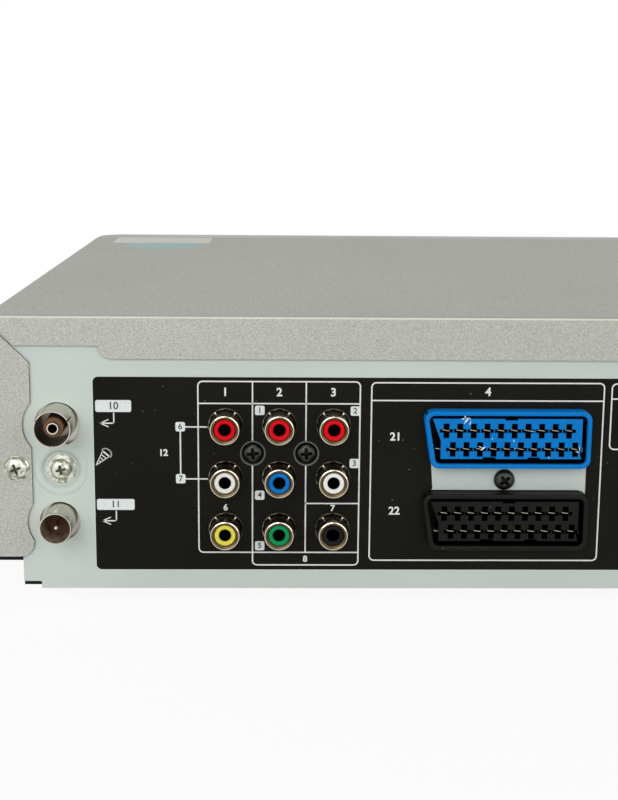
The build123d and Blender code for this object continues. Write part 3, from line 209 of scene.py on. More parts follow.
def speckledPaint(name, look):
    # fine metallic speckle of the grey cover paint
    paint = Finish(name, tint(*look["light"]), 0.5, shine=0.06)
    grain = paint.noise(look["grain"], 2.0, 0.7)
    cloud = paint.noise(look["soft"], 3.0, 0.6)
    blend = (grain * 0.75 + cloud * 0.25).step(0.3, 0.7)
    base = paint.mix(blend, tint(*look["dark"]), tint(*look["light"]))
    broad = paint.noise(9.0, 3.0).step(0.35, 0.7)
    base = paint.mix(broad * 0.1, base, tint(*look["faded"]))
    rear, top = paint.axis("Y") - coverRear, paint.axis("Z") - coverTop
    shadow = rear.step(*look["shadowBand"]) * top.step(*look["flat"])
    base = paint.mix(shadow * 0.4, base, tint(*look["shadow"]))
    # painted highlight: the bend over the rear is lightened along its length
    paintedSheen = rear.step(*look["sheenBand"]) * top.step(*look["sheenBand"])
    base = paint.mix(paintedSheen, base, tint(*look["paintedSheen"]))
    # painted shade: the cut edges of the sheet that face down or inward turn dark
    inward = 0.0 - paint.axis("X").sum("SIGN") * paint.axis("X", "Normal")
    down = 0.0 - paint.axis("Z", "Normal")
    cut = down.step(*look["turned"]).sum("MAXIMUM", inward.step(*look["turned"]))
    paint.set("Base Color", paint.mix(cut, base, tint(*look["bare"])))
    paint.set("Roughness", 0.36 + grain * 0.2)
    paint.bump(grain, 0.00003, 0.6)
    return paint


speckledPaint("coverPaint", coverLook).on("top_cover")


def smoothPaint(name, colour, roughness=0.42):
    paint = Finish(name, tint(*colour), roughness, shine=0.2)
    broad = paint.noise(14.0, 4.0, 0.6).step(0.3, 0.75)
    dust = paint.specks(260.0, 0.05)
    shade = tuple(int(c * 0.93) for c in colour)
    base = paint.mix(broad * 0.5, tint(*colour), tint(*shade))
    paint.set("Base Color", paint.mix(dust * 0.5, base, tint(150, 152, 146)))
    paint.set("Roughness", roughness + paint.noise(120.0) * 0.12)
    paint.bump(paint.noise(900.0, 2.0), 0.000012)
    return paint


panelPaint = smoothPaint("panelPaint", (203, 213, 206)).on("rear_panel")


def moulded(name, colour, roughness=0.5, grain=900.0, depth=0.00004, shine=0.16):
    # moulded plastic with a fine spark-eroded grain
    plastic = Finish(name, tint(*colour), roughness, shine=shine)
    fine = plastic.noise(grain, 2.0, 0.6)
    broad = plastic.noise(20.0, 3.0).step(0.3, 0.7)
    lighter = tuple(min(255, int(c * 1.12 + 3)) for c in colour)
    plastic.set("Base Color", plastic.mix(broad * 0.6, tint(*colour), tint(*lighter)))
    plastic.set("Roughness", roughness + fine * 0.16 - 0.08)
    plastic.bump(fine, depth, 0.7)
    return plastic


def brushed(name, colour, roughness=0.3, along=(8.0, 300.0, 300.0), grime=(90, 84, 70)):
    # plated or rolled metal with fine lines and a little tarnish
    metal = Finish(name, tint(*colour), roughness, 1.0)
    lines = metal.noise(1.0, 3.0, 0.6, metal.stretch(*along))
    stain = metal.noise(60.0, 4.0, 0.65).step(0.52, 0.78)
    metal.set("Base Color", metal.mix(stain * 0.35, tint(*colour), tint(*grime)))
    metal.set("Roughness", roughness + lines * 0.14 + stain * 0.12 - 0.07)
    metal.bump(lines, 0.00001, 0.5)
    return metal


moulded("frameBlack", (17, 17, 16)).on(
    "base_frame", "loader_frame", "mains_inlet", "jack_block", "video_socket"
)
moulded("footRubber", (30, 30, 30), 0.75).on("feet")
moulded("bezelPlastic", (176, 177, 174), 0.38, 1400.0, 0.00002).on(
    "front_bezel", "cassette_door", "tray_door"
)
buttonNames = ["power", "open", "eject", "source", "play", "stop", "record"]
moulded("buttonPlastic", (150, 151, 150), 0.35, 1200.0, 0.00002).on(
    *[name + "_button" for name in buttonNames], "channel_rocker"
)
moulded("trayBlack", (38, 38, 39), 0.45).on("disc_tray", "disc_clamp", "turntable", "laser_sled")
moulded("gearWhite", (214, 211, 200), 0.4).on("tray_gear", "supply_reel", "takeup_reel")
moulded("rollerRubber", (28, 28, 28), 0.7).on("pinch_roller")
moulded("ferriteGrey", (62, 60, 56), 0.6).on("transformer")
moulded("sleeveBlue", (24, 26, 44), 0.3).on("capacitors")
brushed("deckZinc", (205, 203, 190), 0.34).on(
    "deck_chassis",
    "cassette_carriage",
    "carriage_slider",
    "clamp_bridge",
    "traverse_base",
    "spindle_motor",
    "pinch_arm",
)
brushed("drumAluminium", (222, 222, 224), 0.16, (40.0, 40.0, 900.0)).on("head_drum", "lower_drum")
brushed("capstanSteel", (190, 190, 192), 0.18).on("capstan")
brushed("canTin", (200, 198, 188), 0.36).on("tuner_can")
contactTin = brushed("contactTin", (225, 222, 210), 0.22)
insulatorBrown = moulded("insulatorBrown", (112, 84, 62), 0.5)
insertTints = {
    "red": (214, 0, 26),
    "white": (240, 239, 230),
    "yellow": (236, 222, 84),
    "blue": (0, 112, 190),
    "green": (0, 146, 84),
    "black": (22, 21, 22),
}
insertFinish = {name: moulded(name + "Insert", colour, 0.3) for name, colour in insertTints.items()}


def boardFinish(name, colour):
    board = Finish(name, tint(*colour), 0.45)
    weave = board.noise(1.0, 2.0, 0.5, board.stretch(700.0, 90.0, 700.0))
    darker = tuple(int(c * 0.75) for c in colour)
    board.set("Base Color", board.mix(weave.step(0.4, 0.6), tint(*darker), tint(*colour)))
    board.bump(weave, 0.00003)
    return board


boardFinish("boardPaper", (168, 128, 78)).on("main_board", "power_board", "front_board")


def darkGlass(name, alpha):
    glass = Finish(name, tint(24, 25, 28), 0.08)
    smear = glass.noise(30.0, 3.0).step(0.4, 0.8)
    glass.set("Roughness", 0.05 + smear * 0.08)
    glass.set("Alpha", alpha)
    return glass


darkGlass("windowSmoke", 0.72).on("display_window")
darkGlass("displayGlass", 1.0).on("display_module")
print("finishes made")


# Shapes shared by the pieces on the rear
rearTurn = Matrix(((-1, 0, 0), (0, 0, 1), (0, 1, 0))).to_4x4()


def at(x, h, out=0.0):
    # a point of the rear: x from the middle, h above the bottom of the case, out beyond the panel
    return Vector((x * mm, panelFace + out * mm, panelBottom + h * mm))


def facing(x=0.0, h=0.0, out=0.0):
    # puts what was drawn flat, as seen from behind, on the rear
    return Matrix.Translation(at(x, h, out)) @ rearTurn


def circle(x, h, radius, steps=48):
    turns = [math.tau * n / steps for n in range(steps)]
    return [(x + radius * math.cos(turn), h + radius * math.sin(turn)) for turn in turns]


def rounded(corners, radius, steps=6):
    # a closed outline whose corners are arcs, each of the one radius or of its own
    outline = []
    count = len(corners)
    for n, corner in enumerate(corners):
        size = radius[n] if isinstance(radius, (list, tuple)) else radius
        here = Vector(corner)
        if size <= 0:
            outline.append(corner)
            continue
        before = (Vector(corners[n - 1]) - here).normalized()
        after = (Vector(corners[(n + 1) % count]) - here).normalized()
        half = before.angle(after) / 2
        middle = here + (before + after).normalized() * size / math.sin(half)
        first = here + before * size / math.tan(half) - middle
        last = here + after * size / math.tan(half) - middle
        start = math.atan2(first.y, first.x)
        sweep = (math.atan2(last.y, last.x) - start + math.pi) % math.tau - math.pi
        for step in range(steps + 1):
            turn = start + sweep * step / steps
            outline.append((middle.x + size * math.cos(turn), middle.y + size * math.sin(turn)))
    return outline


def box(left, low, right, high):
    return [(left, low), (right, low), (right, high), (left, high)]


def meshOf(data):
    holder = bpy.data.objects.new("outline", data)
    mesh = bpy.data.meshes.new_from_object(holder)
    bpy.data.objects.remove(holder)
    return mesh


def plate(loops, out, thick, soft=0.0):
    # a flat plate with holes whose outer face is at out, with softened edges
    curve = bpy.data.curves.new("outline", "CURVE")
    curve.dimensions = "2D"
    curve.fill_mode = "BOTH"
    curve.extrude = (thick / 2 - soft) * mm
    curve.bevel_depth = soft * mm
    curve.bevel_resolution = 1
    curve.offset = -soft * mm
    for loop in loops:
        spline = curve.splines.new("POLY")
        spline.points.add(len(loop) - 1)
        for point, (x, h) in zip(spline.points, loop):
            point.co = (-x * mm, h * mm, 0, 1)
        spline.use_cyclic_u = True
    mesh = meshOf(curve)
    mesh.transform(facing(out=out - thick / 2))
    return mesh


def numeral(text, x, h, size, out, heavy=0.0):
    # a plain number in the default letter form, its middle at x, h
    curve = bpy.data.curves.new("number", "FONT")
    curve.body = text
    curve.size = size * mm
    curve.extrude = ink["thick"] * mm
    curve.offset = heavy * mm
    curve.align_x = "CENTER"
    curve.align_y = "CENTER"
    curve.resolution_u = 4
    mesh = meshOf(curve)
    mesh.transform(facing(x, h, out))
    return mesh


def turned(profile, spot=None, steps=48, span=360.0, first=0.0):
    # a body turned about an axis that points to the rear, from (radius, out) corners
    form = bmesh.new()
    turn = Matrix.Rotation(math.radians(first), 3, "Y")
    verts = [form.verts.new(turn @ Vector((radius * mm, out * mm, 0))) for radius, out in profile]
    edges = [form.edges.new(ends) for ends in zip(verts, verts[1:])]
    whole = span >= 360.0
    bmesh.ops.spin(
        form,
        geom=verts + edges,
        cent=(0, 0, 0),
        axis=(0, 1, 0),
        dvec=(0, 0, 0),
        angle=math.radians(span),
        steps=steps,
        use_merge=whole,
    )
    bmesh.ops.remove_doubles(form, verts=form.verts[:], dist=1e-7)
    if not whole:
        bmesh.ops.holes_fill(form, edges=form.edges[:], sides=len(profile) + 1)
    bmesh.ops.recalc_face_normals(form, faces=form.faces[:])
    if spot is not None:
        bmesh.ops.translate(form, verts=form.verts[:], vec=spot)
    return settled(form)


def settled(form):
    mesh = bpy.data.meshes.new("form")
    form.to_mesh(mesh)
    form.free()
    return mesh


def block(low, high, soft=0.0, turn=None):
    # a box between two corners in metres, with softened edges
    form = bmesh.new()
    bmesh.ops.create_cube(form, size=1.0)
    size = Vector(high) - Vector(low)
    bmesh.ops.scale(form, verts=form.verts[:], vec=size)
    if soft:
        bmesh.ops.bevel(
            form,
            geom=form.edges[:],
            offset=soft,
            offset_type="OFFSET",
            affect="EDGES",
            segments=2,
            profile=0.5,
            material=-1,
        )
    if turn is not None:
        bmesh.ops.rotate(form, verts=form.verts[:], cent=(0, 0, 0), matrix=turn)
    bmesh.ops.translate(form, verts=form.verts[:], vec=(Vector(high) + Vector(low)) / 2)
    return settled(form)


def joined(meshes, places=None):
    # one mesh of several, or of one at several places
    form = bmesh.new()
    for mesh in meshes:
        for place in places or [Matrix()]:
            copy = mesh.copy()
            copy.transform(place)
            form.from_mesh(copy)
            bpy.data.meshes.remove(copy)
    return settled(form)


def putUp(name, mesh, finish, body="case", crease=32.0, deep=None):
    # makes a finished piece of a mesh, with a second finish where it was hollowed
    mesh.name = name
    kinds = [face.material_index for face in mesh.polygons]
    mesh.materials.clear()
    mesh.materials.append(finish.material)
    if deep is not None:
        mesh.materials.append(deep.material)
        mesh.polygons.foreach_set("material_index", kinds)
    mesh.shade_smooth()
    mesh.set_sharp_from_angle(angle=math.radians(crease))
    piece = bpy.data.objects.new(name, mesh)
    bpy.context.scene.collection.objects.link(piece)
    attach(piece, body)
    return piece


# The black printed label
label = {
    "left": 184.8,
    "right": -60.0,
    "low": 5.6,
    "high": 61.5,
    "corner": 1.5,
    "film": 0.08,
    "soft": 0.01,
    "jackHole": 4.75,
    "screwHole": 3.55,
    "videoHole": 6.0,
    "scartHole": [
        (92.3, 52.5),
        (46.0, 52.5),
        (46.0, 12.9),
        (89.6, 12.9),
        (91.3, 28.0),
        (89.5, 29.6),
        (90.0, 36.3),
    ],
    "scartBends": [2.9, 2.9, 2.9, 2.9, 0.6, 0.3, 1.0],
    "sheet": 0.05,  # the pale sheet that shows as a hairline round the black
    "hairline": 0.16,
    "under": 1.0,
}
jackColumns = (147.97, 132.87, 117.7)
jackRows = (47.75, 32.65, 17.55)
jackScrews = ((140.3, 39.7), (125.25, 39.7))
scartMiddle = 69.2
scartRows = (47.2, 23.35)
videoSocket = (28.0, 48.5)

labelBlack = Finish("labelInk", tint(24, 23, 18), 0.42, shine=0.09)
labelDust = labelBlack.specks(330.0, 0.075) * labelBlack.noise(45.0, 2.0).step(0.45, 0.6)
labelCloud = labelBlack.noise(26.0, 4.0, 0.6).step(0.35, 0.75)
labelTone = labelBlack.mix(labelCloud * 0.5, tint(21, 20, 15), tint(31, 30, 25))
labelBlack.set("Base Color", labelBlack.mix(labelDust * 0.55, labelTone, tint(150, 146, 132)))
labelBlack.set("Roughness", 0.36 + labelBlack.noise(300.0, 2.0) * 0.16)
labelBlack.bump(labelBlack.noise(1200.0, 2.0), 0.000008)


def cutLabel():
    rim = rounded(box(label["right"], label["low"], label["left"], label["high"]), label["corner"])
    holes = [circle(x, h, label["jackHole"]) for x in jackColumns for h in jackRows]
    holes += [circle(x, h, label["screwHole"]) for x, h in jackScrews]
    holes.append(circle(*videoSocket, label["videoHole"]))
    holes.append(rounded(label["scartHole"], label["scartBends"], 4))
    return plate([rim] + holes, label["film"] + 2 * label["soft"], label["film"], label["soft"])


def labelBorder():
    left, right, low, high = (label[k] for k in ("left", "right", "low", "high"))
    wide, under, thin = label["hairline"], label["under"], label["sheet"]
    outside = rounded(box(right - wide, low - wide, left + wide, high), label["corner"] + wide)
    inside = rounded(box(right + under, low + under, left - under, high - under), label["corner"])
    return plate([outside, inside], thin, thin)


putUp("rearLabel", cutLabel(), labelBlack)


def inked(name, colour, roughness=0.45):
    # screen-printed ink with slightly uneven cover
    coat = Finish(name, tint(*colour), roughness, shine=0.2)
    patchy = coat.noise(2600.0, 2.0, 0.6).step(0.3, 0.6)
    thinner = tuple(int(c * 0.95) for c in colour)
    coat.set("Base Color", coat.mix(patchy, tint(*thinner), tint(*colour)))
    coat.set("Roughness", roughness + patchy * 0.08)
    return coat


printWhite = inked("printWhite", (236, 236, 232))
tagWhite = inked("tagWhite", (232, 238, 236))
printDark = inked("printDark", (58, 62, 64))
putUp("labelEdge", labelBorder(), tagWhite)

ink = {
    "line": 0.4,
    "shaft": 0.36,
    "fine": 0.3,
    "out": 0.12,
    "thick": 0.01,
    "over": 0.004,
    "bold": 0.09,
    "light": 0.035,
}


def stroke(points, width):
    # a printed line of even width through the points
    pieces = []
    for (x0, h0), (x1, h1) in zip(points, points[1:]):
        length = math.hypot(x1 - x0, h1 - h0) + width
        turn = Matrix.Rotation(-math.atan2(h1 - h0, x1 - x0), 3, "Y")
        half = Vector((length, ink["thick"], width)) / 2 * mm
        middle = at((x0 + x1) / 2, (h0 + h1) / 2, ink["out"] + ink["over"])
        mesh = block(-half, half, 0.0, turn)
        mesh.transform(Matrix.Translation(middle))
        pieces.append(mesh)
    return pieces


def frameLine(left, low, right, high, corners, lift=0.0):
    # a box drawn as a line, its corners from the lower right round to the lower left
    loops = []
    for grow in (ink["line"] / 2, -ink["line"] / 2):
        bends = [bend and bend + grow for bend in corners]
        loops.append(rounded(box(right - grow, low - grow, left + grow, high + grow), bends))
    return plate(loops, ink["out"] + ink["thick"] / 2 + lift, ink["thick"])


bend = 1.3
ruling = {
    "frames": [  # left, low, right, high, the corners, and how far one is lifted from the others
        (155.6, 10.75, 110.3, 60.3, (0, bend, bend, bend)),
        (140.4, 7.0, 110.3, 10.75, (bend, bend, 0, 0), -0.006),
        (107.1, 8.44, 41.9, 60.1, (bend, bend, bend, bend)),
        (39.7, 41.2, 16.3, 60.0, (bend, bend, bend, bend)),
    ],
    "runs": [  # from x, h to x, h
        (155.6, 54.04, 110.3, 54.04),
        (107.1, 55.05, 41.9, 55.05),
        (39.7, 55.7, 16.3, 55.7),
        (125.4, 25.2, 110.3, 25.2),
        (140.4, 60.3, 140.4, 43.6),
        (140.4, 36.0, 140.4, 10.75),
        (125.4, 60.3, 125.4, 43.6),
        (125.4, 36.0, 125.4, 10.75),
        (160.6, 46.0, 160.6, 33.7),
        (159.3, 47.3, 153.2, 47.3),
        (159.3, 32.3, 153.2, 32.3),
    ],
    "arrows": [(179.1, 51.1, 3.8), (178.9, 22.8, 3.9)],
    "drop": 2.8,
    "barb": (2.2, 1.0),
}


def drawLines():
    lines = [frameLine(*frame) for frame in ruling["frames"]]
    for x0, h0, x1, h1 in ruling["runs"]:
        lines += stroke(((x0, h0), (x1, h1)), ink["line"])
    back, spread = ruling["barb"]
    for x, h, reach in ruling["arrows"]:
        low = h - ruling["drop"]
        tip = (x + reach, low)
        lines += stroke(((x, h), (x, low), tip), ink["shaft"])
        for side in (1, -1):
            lines += stroke((tip, (x + reach - back, low + side * spread)), ink["fine"])
    return lines


headings = [
    ("1", 148.0, 57.2, 3.3),
    ("2", 132.9, 57.2, 3.3),
    ("3", 117.8, 57.2, 3.3),
    ("4", 74.5, 57.5, 3.3),
    ("5", 28.0, 57.8, 3.0),
    ("21", 100.2, 44.6, 3.2),
    ("22", 100.2, 23.0, 3.2),
    ("12", 165.4, 39.8, 2.6),
    ("6", 148.0, 23.9, 2.5),
    ("7", 117.7, 23.8, 2.5),
    ("8", 125.4, 8.75, 2.5),
]


def drawNumbers():
    return [numeral(text, x, h, size, ink["out"], ink["bold"]) for text, x, h, size in headings]


tags = {
    "large": [("10", 179.2, 53.2, 10.0, 3.4), ("11", 179.0, 24.8, 10.6, 3.2)],
    "small": [
        ("1", 138.35, 52.1),
        ("2", 111.6, 52.0),
        ("3", 111.7, 36.9),
        ("4", 138.35, 27.6),
        ("5", 138.35, 12.7),
        ("6", 160.6, 47.35),
        ("7", 160.6, 32.35),
    ],
    "smallSize": 2.7,
    "corner": 0.5,
    "film": 0.02,
    "number": 0.86,  # of the tag's height
    "numberOut": 0.035,
}


def drawTags():
    whites, darks = [], []
    spots = list(tags["large"])
    spots += [(text, x, h, tags["smallSize"], tags["smallSize"]) for text, x, h in tags["small"]]
    for text, x, h, wide, tall in spots:
        outline = box(x - wide / 2, h - tall / 2, x + wide / 2, h + tall / 2)
        whites.append(plate([rounded(outline, tags["corner"], 3)], ink["out"] + tags["film"], tags["film"]))
        size = tags["number"] * tall
        darks.append(numeral(text, x, h, size, ink["out"] + tags["numberOut"], ink["light"]))
    return whites, darks


screwSign = {
    "tip": (184.3, 36.2),
    "end": (181.4, 39.6),
    "half": 1.25,
    "stripes": (0.35, 0.55, 0.75, 0.95),
    "line": 0.28,
    "head": (1.6, 1.3),
    "headLine": 0.3,
}


def drawScrewSign():
    # the small sign that points at the case screw: a striped cone with a round head
    tip, end = Vector(screwSign["tip"]), Vector(screwSign["end"])
    along = (end - tip).normalized()
    side = Vector((along.y, -along.x))
    half, line = screwSign["half"], screwSign["line"]
    marks = []
    for share in screwSign["stripes"]:
        middle, reach = tip.lerp(end, share), side * half * share
        marks += stroke((middle - reach, middle + reach), line)
    for way in (1, -1):
        marks += stroke((tip, end + side * way * half), line)
    wide, tall = screwSign["head"]
    turns = [math.pi * n / 8 for n in range(9)]
    dome = [end + side * math.cos(turn) * wide + along * math.sin(turn) * tall for turn in turns]
    return marks + stroke(dome + dome[:1], screwSign["headLine"])


putUp("labelPrint", joined(drawLines() + drawNumbers() + drawScrewSign()), printWhite)
tagPlates, tagNumbers = drawTags()
putUp("labelTags", joined(tagPlates), tagWhite)
putUp("tagNumbers", joined(tagNumbers), printDark)
print("label and print made")

# Screws
screwShapes = {
    "pan": {"rim": 3.6, "rise": 2.1, "dome": 3.3, "cross": 2.0, "arm": 0.5, "depth": 1.5},
    "washer": {"rim": 4.15, "rise": 2.3, "dome": 3.0, "cross": 1.8, "arm": 0.5, "depth": 1.5},
    "black": {"rim": 2.95, "rise": 2.0, "dome": 2.8, "cross": 2.15, "arm": 0.62, "depth": 1.5},
}
screwForm = {
    "shank": 1.5,
    "length": 4.0,
    "edge": 0.45,
    "washer": 0.6,
    "foot": 0.65,
    "steps": 7,
    "taper": 0.55,
}


def hollowed(mesh, cutter):
    # takes one mesh out of another
    for data in (mesh, cutter):
        data.materials.append(None)
        data.materials.append(None)
    cutter.polygons.foreach_set("material_index", [1] * len(cutter.polygons))
    pair = [bpy.data.objects.new("form", data) for data in (mesh, cutter)]
    for item in pair:
        bpy.context.scene.collection.objects.link(item)
    cut = pair[0].modifiers.new("cut", "BOOLEAN")
    cut.operation = "DIFFERENCE"
    cut.solver = "EXACT"
    cut.object = pair[1]
    graph = bpy.context.evaluated_depsgraph_get()
    made = bpy.data.meshes.new_from_object(pair[0].evaluated_get(graph))
    for item in pair:
        bpy.data.objects.remove(item)
    return made


def screw(shape):
    # a head with a cross recess, its seat at the origin and its axis towards the rear
    rim, rise, dome = shape["rim"], shape["rise"], shape["dome"]
    shank, length, foot, steps = (screwForm[k] for k in ("shank", "length", "foot", "steps"))
    profile = [(0, -length), (shank, -length), (shank, 0), (rim, 0), (rim, screwForm["edge"])]
    if dome < rim - 0.5:
        profile.append((dome, screwForm["washer"]))
    for n in range(steps + 1):
        turn = math.pi / 2 * n / steps
        profile.append((dome * math.cos(turn) ** 0.8, foot + (rise - foot) * math.sin(turn)))
    profile[-1] = (0, rise)
    head = turned(profile, steps=40)
    wing, arm = shape["cross"], shape["arm"]
    outline = []
    for quarter in range(4):
        turn = math.radians(90 * quarter)
        for x, y in ((arm, arm), (wing, arm * 0.8), (wing, -arm * 0.8)):
            outline.append((x * math.cos(turn) - y * math.sin(turn), x * math.sin(turn) + y * math.cos(turn)))
    order = [outline[n] for quarter in range(4) for n in (3 * quarter + 2, 3 * quarter + 1, 3 * quarter)]
    form = bmesh.new()
    ring = [form.verts.new((x * mm, (rise + 1) * mm, y * mm)) for x, y in order]
    face = form.faces.new(ring)
    deep = bmesh.ops.extrude_face_region(form, geom=[face])["geom"]
    low = [item for item in deep if isinstance(item, bmesh.types.BMVert)]
    bmesh.ops.translate(form, verts=low, vec=(0, -(shape["depth"] + 1) * mm, 0))
    bmesh.ops.scale(form, verts=low, vec=(screwForm["taper"], 1, screwForm["taper"]))
    bmesh.ops.recalc_face_normals(form, faces=form.faces[:])
    return hollowed(head, settled(form))


def placed(spot, way, spin):
    # a screw's place: its spot, the way its head faces and how far it was driven round
    turn = Vector((0, 1, 0)).rotation_difference(Vector(way)).to_matrix().to_4x4()
    return Matrix.Translation(spot) @ turn @ Matrix.Rotation(math.radians(spin), 4, "Y")


coverSteel = (coverRear - panelFace) / mm
screwSpots = {
    "wing": (206.5, 35.5),
    "dish": (194.2, 34.9),
    "dishDepth": 1.2,
    "dishSpin": 12,
    "sideHeight": 20.0,
    "sides": (-60.0, 80.0),
    "spins": (20, -33, 8, 51, -12, 37),
}


def driveScrews():
    pan = screw(screwShapes["pan"])
    spins = iter(screwSpots["spins"])
    places = []
    for side in (1, -1):
        x, h = screwSpots["wing"]
        places.append(placed(at(side * x, h, coverSteel), (0, 1, 0), next(spins)))
    for side in (1, -1):
        face = coverHigh.x if side > 0 else coverLow.x
        for y in screwSpots["sides"]:
            spot = Vector((face, y * mm, panelBottom + screwSpots["sideHeight"] * mm))
            places.append(placed(spot, (side, 0, 0), next(spins)))
    x, h = screwSpots["dish"]
    washer = screw(screwShapes["washer"])
    washer.transform(placed(at(x, h, -screwSpots["dishDepth"]), (0, 1, 0), screwSpots["dishSpin"]))
    return joined([joined([pan], places), washer])


zincScrew = Finish("screwZinc", tint(214, 216, 204), 0.2, 1.0)
# the dark patches are partly the zinc's own mottle and partly painted reflection of a darker room
zincMottleAndReflection = zincScrew.noise(520.0, 3.0, 0.65).step(0.44, 0.6)
zincScrew.set("Base Color", zincScrew.mix(zincMottleAndReflection, tint(218, 220, 206), tint(140, 143, 130)))
zincScrew.set("Roughness", 0.16 + zincMottleAndReflection * 0.2)
zincScrew.bump(zincScrew.noise(900.0, 2.0), 0.00004)
# painted shade in the cross recesses of the zinc screws
recessShade = moulded("recessShade", (118, 118, 102), 0.6)
screws = putUp("screwsZinc", driveScrews(), zincScrew, deep=recessShade)
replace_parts(screws, "zinc_screws")


dishProfile = [  # radius and height, from the outer edge in
    (7.6, 0.0),
    (7.2, 0.22),
    (6.7, 0.38),
    (6.2, 0.34),
    (5.75, 0.1),
    (5.35, -0.3),
    (5.05, -0.75),
    (4.85, -1.17),
]


def dishLip():
    # the pressed seat of the screw between the aerial sockets, drawn in with a soft edge
    return turned(dishProfile, at(*screwSpots["dish"]), 56)


putUp("screwDish", dishLip(), panelPaint)

# The phono jacks
jack = {
    "barrel": 4.15,
    "rim": 7.0,
    "lip": 3.82,
    "inside": 3.0,
    "collar": 4.62,
    "collarRise": 1.6,
    "gap": 36.0,
    "bore": 1.75,
    "sunk": 0.6,
    "root": -0.8,
    "edge": 0.4,  # of the barrel's rounded rim
    "slope": (0.3, 0.15, 0.5),
    "end": {"half": 0.2, "over": 0.1, "out": 0.12, "grow": 0.2, "soft": 0.03},
    "bead": (0.6, 0.75, 1.3, 1.5),
    "beadWide": 0.2,
    # painted reflection: the barrel turns from dark to bright between these distances
    "paintedSheen": (0.0052, 0.0068),  # metres out from the panel between which the barrel turns bright
}
jackColours = {
    "red": [(0, 0), (1, 0), (2, 0)],
    "white": [(0, 1), (2, 1)],
    "yellow": [(0, 2)],
    "blue": [(1, 1)],
    "green": [(1, 2)],
    "black": [(2, 2)],
}
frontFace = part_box("front_bezel")[0].y
frontJacks = {"spots": (-190.0, -175.0, -160.0), "height": 17.0, "proud": 0.6}
frontOrder = ("yellow", "white", "red")


def frontPlace(x, h, out):
    # turns what was made for the rear round to the front face
    spot = Vector((x * mm, frontFace - out * mm, panelBottom + h * mm))
    return Matrix.Translation(spot) @ Matrix.Rotation(math.pi, 4, "Z")


def jackBarrel():
    outside, lip, rim, root, edge = (jack[k] for k in ("barrel", "lip", "rim", "root", "edge"))
    profile = [(outside, root), (outside, rim - edge), (outside - edge * 0.25, rim - edge * 0.3), (lip, rim)]
    return turned(profile, steps=40)


def jackLip():
    # the slope inside the rim, its nickel darkened with painted shade
    lip, inside, rim, root = (jack[k] for k in ("lip", "inside", "rim", "root"))
    wide, drop, low = jack["slope"]
    return turned([(lip, rim), (inside + wide, rim - drop), (inside, rim - low), (inside, root)], steps=40)


def collarGlints():
    # painted highlights: two bright blocks at the cut ends of the collar, where the lamps glint
    outside, collar, rise, root = (jack[k] for k in ("barrel", "collar", "collarRise", "root"))
    end = jack["end"]
    half = Vector((end["half"], (rise - root) / 2 + end["over"], (collar - outside) / 2 + end["grow"])) * mm
    middle = Vector((0, (rise + root) / 2 + end["over"], (collar + outside) / 2 + end["out"])) * mm
    turns = [Matrix.Rotation(math.radians(side * jack["gap"]), 4, "Y") for side in (1, -1)]
    places = [turn @ Matrix.Translation(middle) for turn in turns]
    return joined([block(-half, half, end["soft"] * mm)], places)


def jackCollar():
    # the dark collar that stands in the panel's hole, open at the top
    outside, collar, rise, gap, root = (jack[k] for k in ("barrel", "collar", "collarRise", "gap", "root"))
    hold = outside - 0.05
    skirt = [(hold, root), (collar, root), (collar, rise - 0.5), (collar - 0.3, rise), (hold, rise + 0.25)]
    ring = turned(skirt + skirt[:1], steps=34, span=360 - 2 * gap, first=90 - gap)
    rises, crest = [rise + more for more in jack["bead"]], hold + jack["beadWide"]
    bead = turned(list(zip((hold, crest, crest, hold), rises)), steps=36)
    return joined([ring, bead])


def jackInsert():
    inside, bore, face, root = jack["inside"], jack["bore"], jack["rim"] - jack["sunk"], jack["root"]
    profile = [(inside, root), (inside, face - 0.2), (inside - 0.2, face), (bore + 0.25, face)]
    profile += [(bore, face - 0.25), (bore, 0.2), (0, 0.2)]
    return turned(profile, steps=40)


def jackBore():
    # painted shade: a black sheet lining the bore
    shadeLining, face = jack["bore"] - 0.03, jack["rim"] - jack["sunk"]
    return turned([(shadeLining, face - 0.45), (shadeLining, 0.3), (0, 0.3)], steps=28)


def holeRing():
    # the bare edge of the hole in the label and panel
    hole = label["jackHole"]
    bead = [(hole - 0.02, 0.1), (hole + 0.05, 0.17), (hole + 0.13, 0.1)]
    return turned([(hole - 0.02, jack["root"])] + bead, steps=56)


def jackPlaces(columnRows):
    return [Matrix.Translation(at(jackColumns[c], jackRows[r])) for c, r in columnRows]


def makeJacks():
    rearPlaces = jackPlaces([(c, r) for c in range(3) for r in range(3)])
    inset = frontJacks["proud"] - jack["rim"]
    fronts = [frontPlace(x, frontJacks["height"], inset) for x in frontJacks["spots"]]
    every = rearPlaces + fronts
    shells = putUp("jackBarrels", joined([jackBarrel()], every), barrelNickel())
    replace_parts(shells, "jack_shells")
    bronze = brushed("collarBronze", (58, 50, 40), 0.34, (120.0, 900.0, 120.0), (20, 18, 15))
    putUp("jackCollars", joined([jackCollar()], every), bronze)
    # painted shade on the slope inside the rim
    lipShade = brushed("lipNickel", (92, 80, 60), 0.26, (300.0, 900.0, 300.0), (40, 34, 26))
    putUp("jackLips", joined([jackLip()], every), lipShade)
    # painted highlights on the cut ends of the collar
    bright = brushed("collarGlint", (236, 228, 206), 0.3)
    putUp("collarGlints", joined([collarGlints()], rearPlaces), bright)
    # painted shade inside the bores
    shadeLining = moulded("boreShade", (6, 6, 6), 0.7, shine=0.05)
    putUp("jackBores", joined([jackBore()], every), shadeLining)
    bareEdge = brushed("bareEdge", (124, 116, 96), 0.4)
    putUp("jackHoleEdges", joined([holeRing()], rearPlaces), bareEdge)
    for name, spots in jackColours.items():
        places = jackPlaces(spots)
        if name in frontOrder:
            places.append(fronts[frontOrder.index(name)])
        finish = insertFinish[name]
        insert = putUp(name + "Inserts", joined([jackInsert()], places), finish)
        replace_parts(insert, "jack_inserts_" + name)


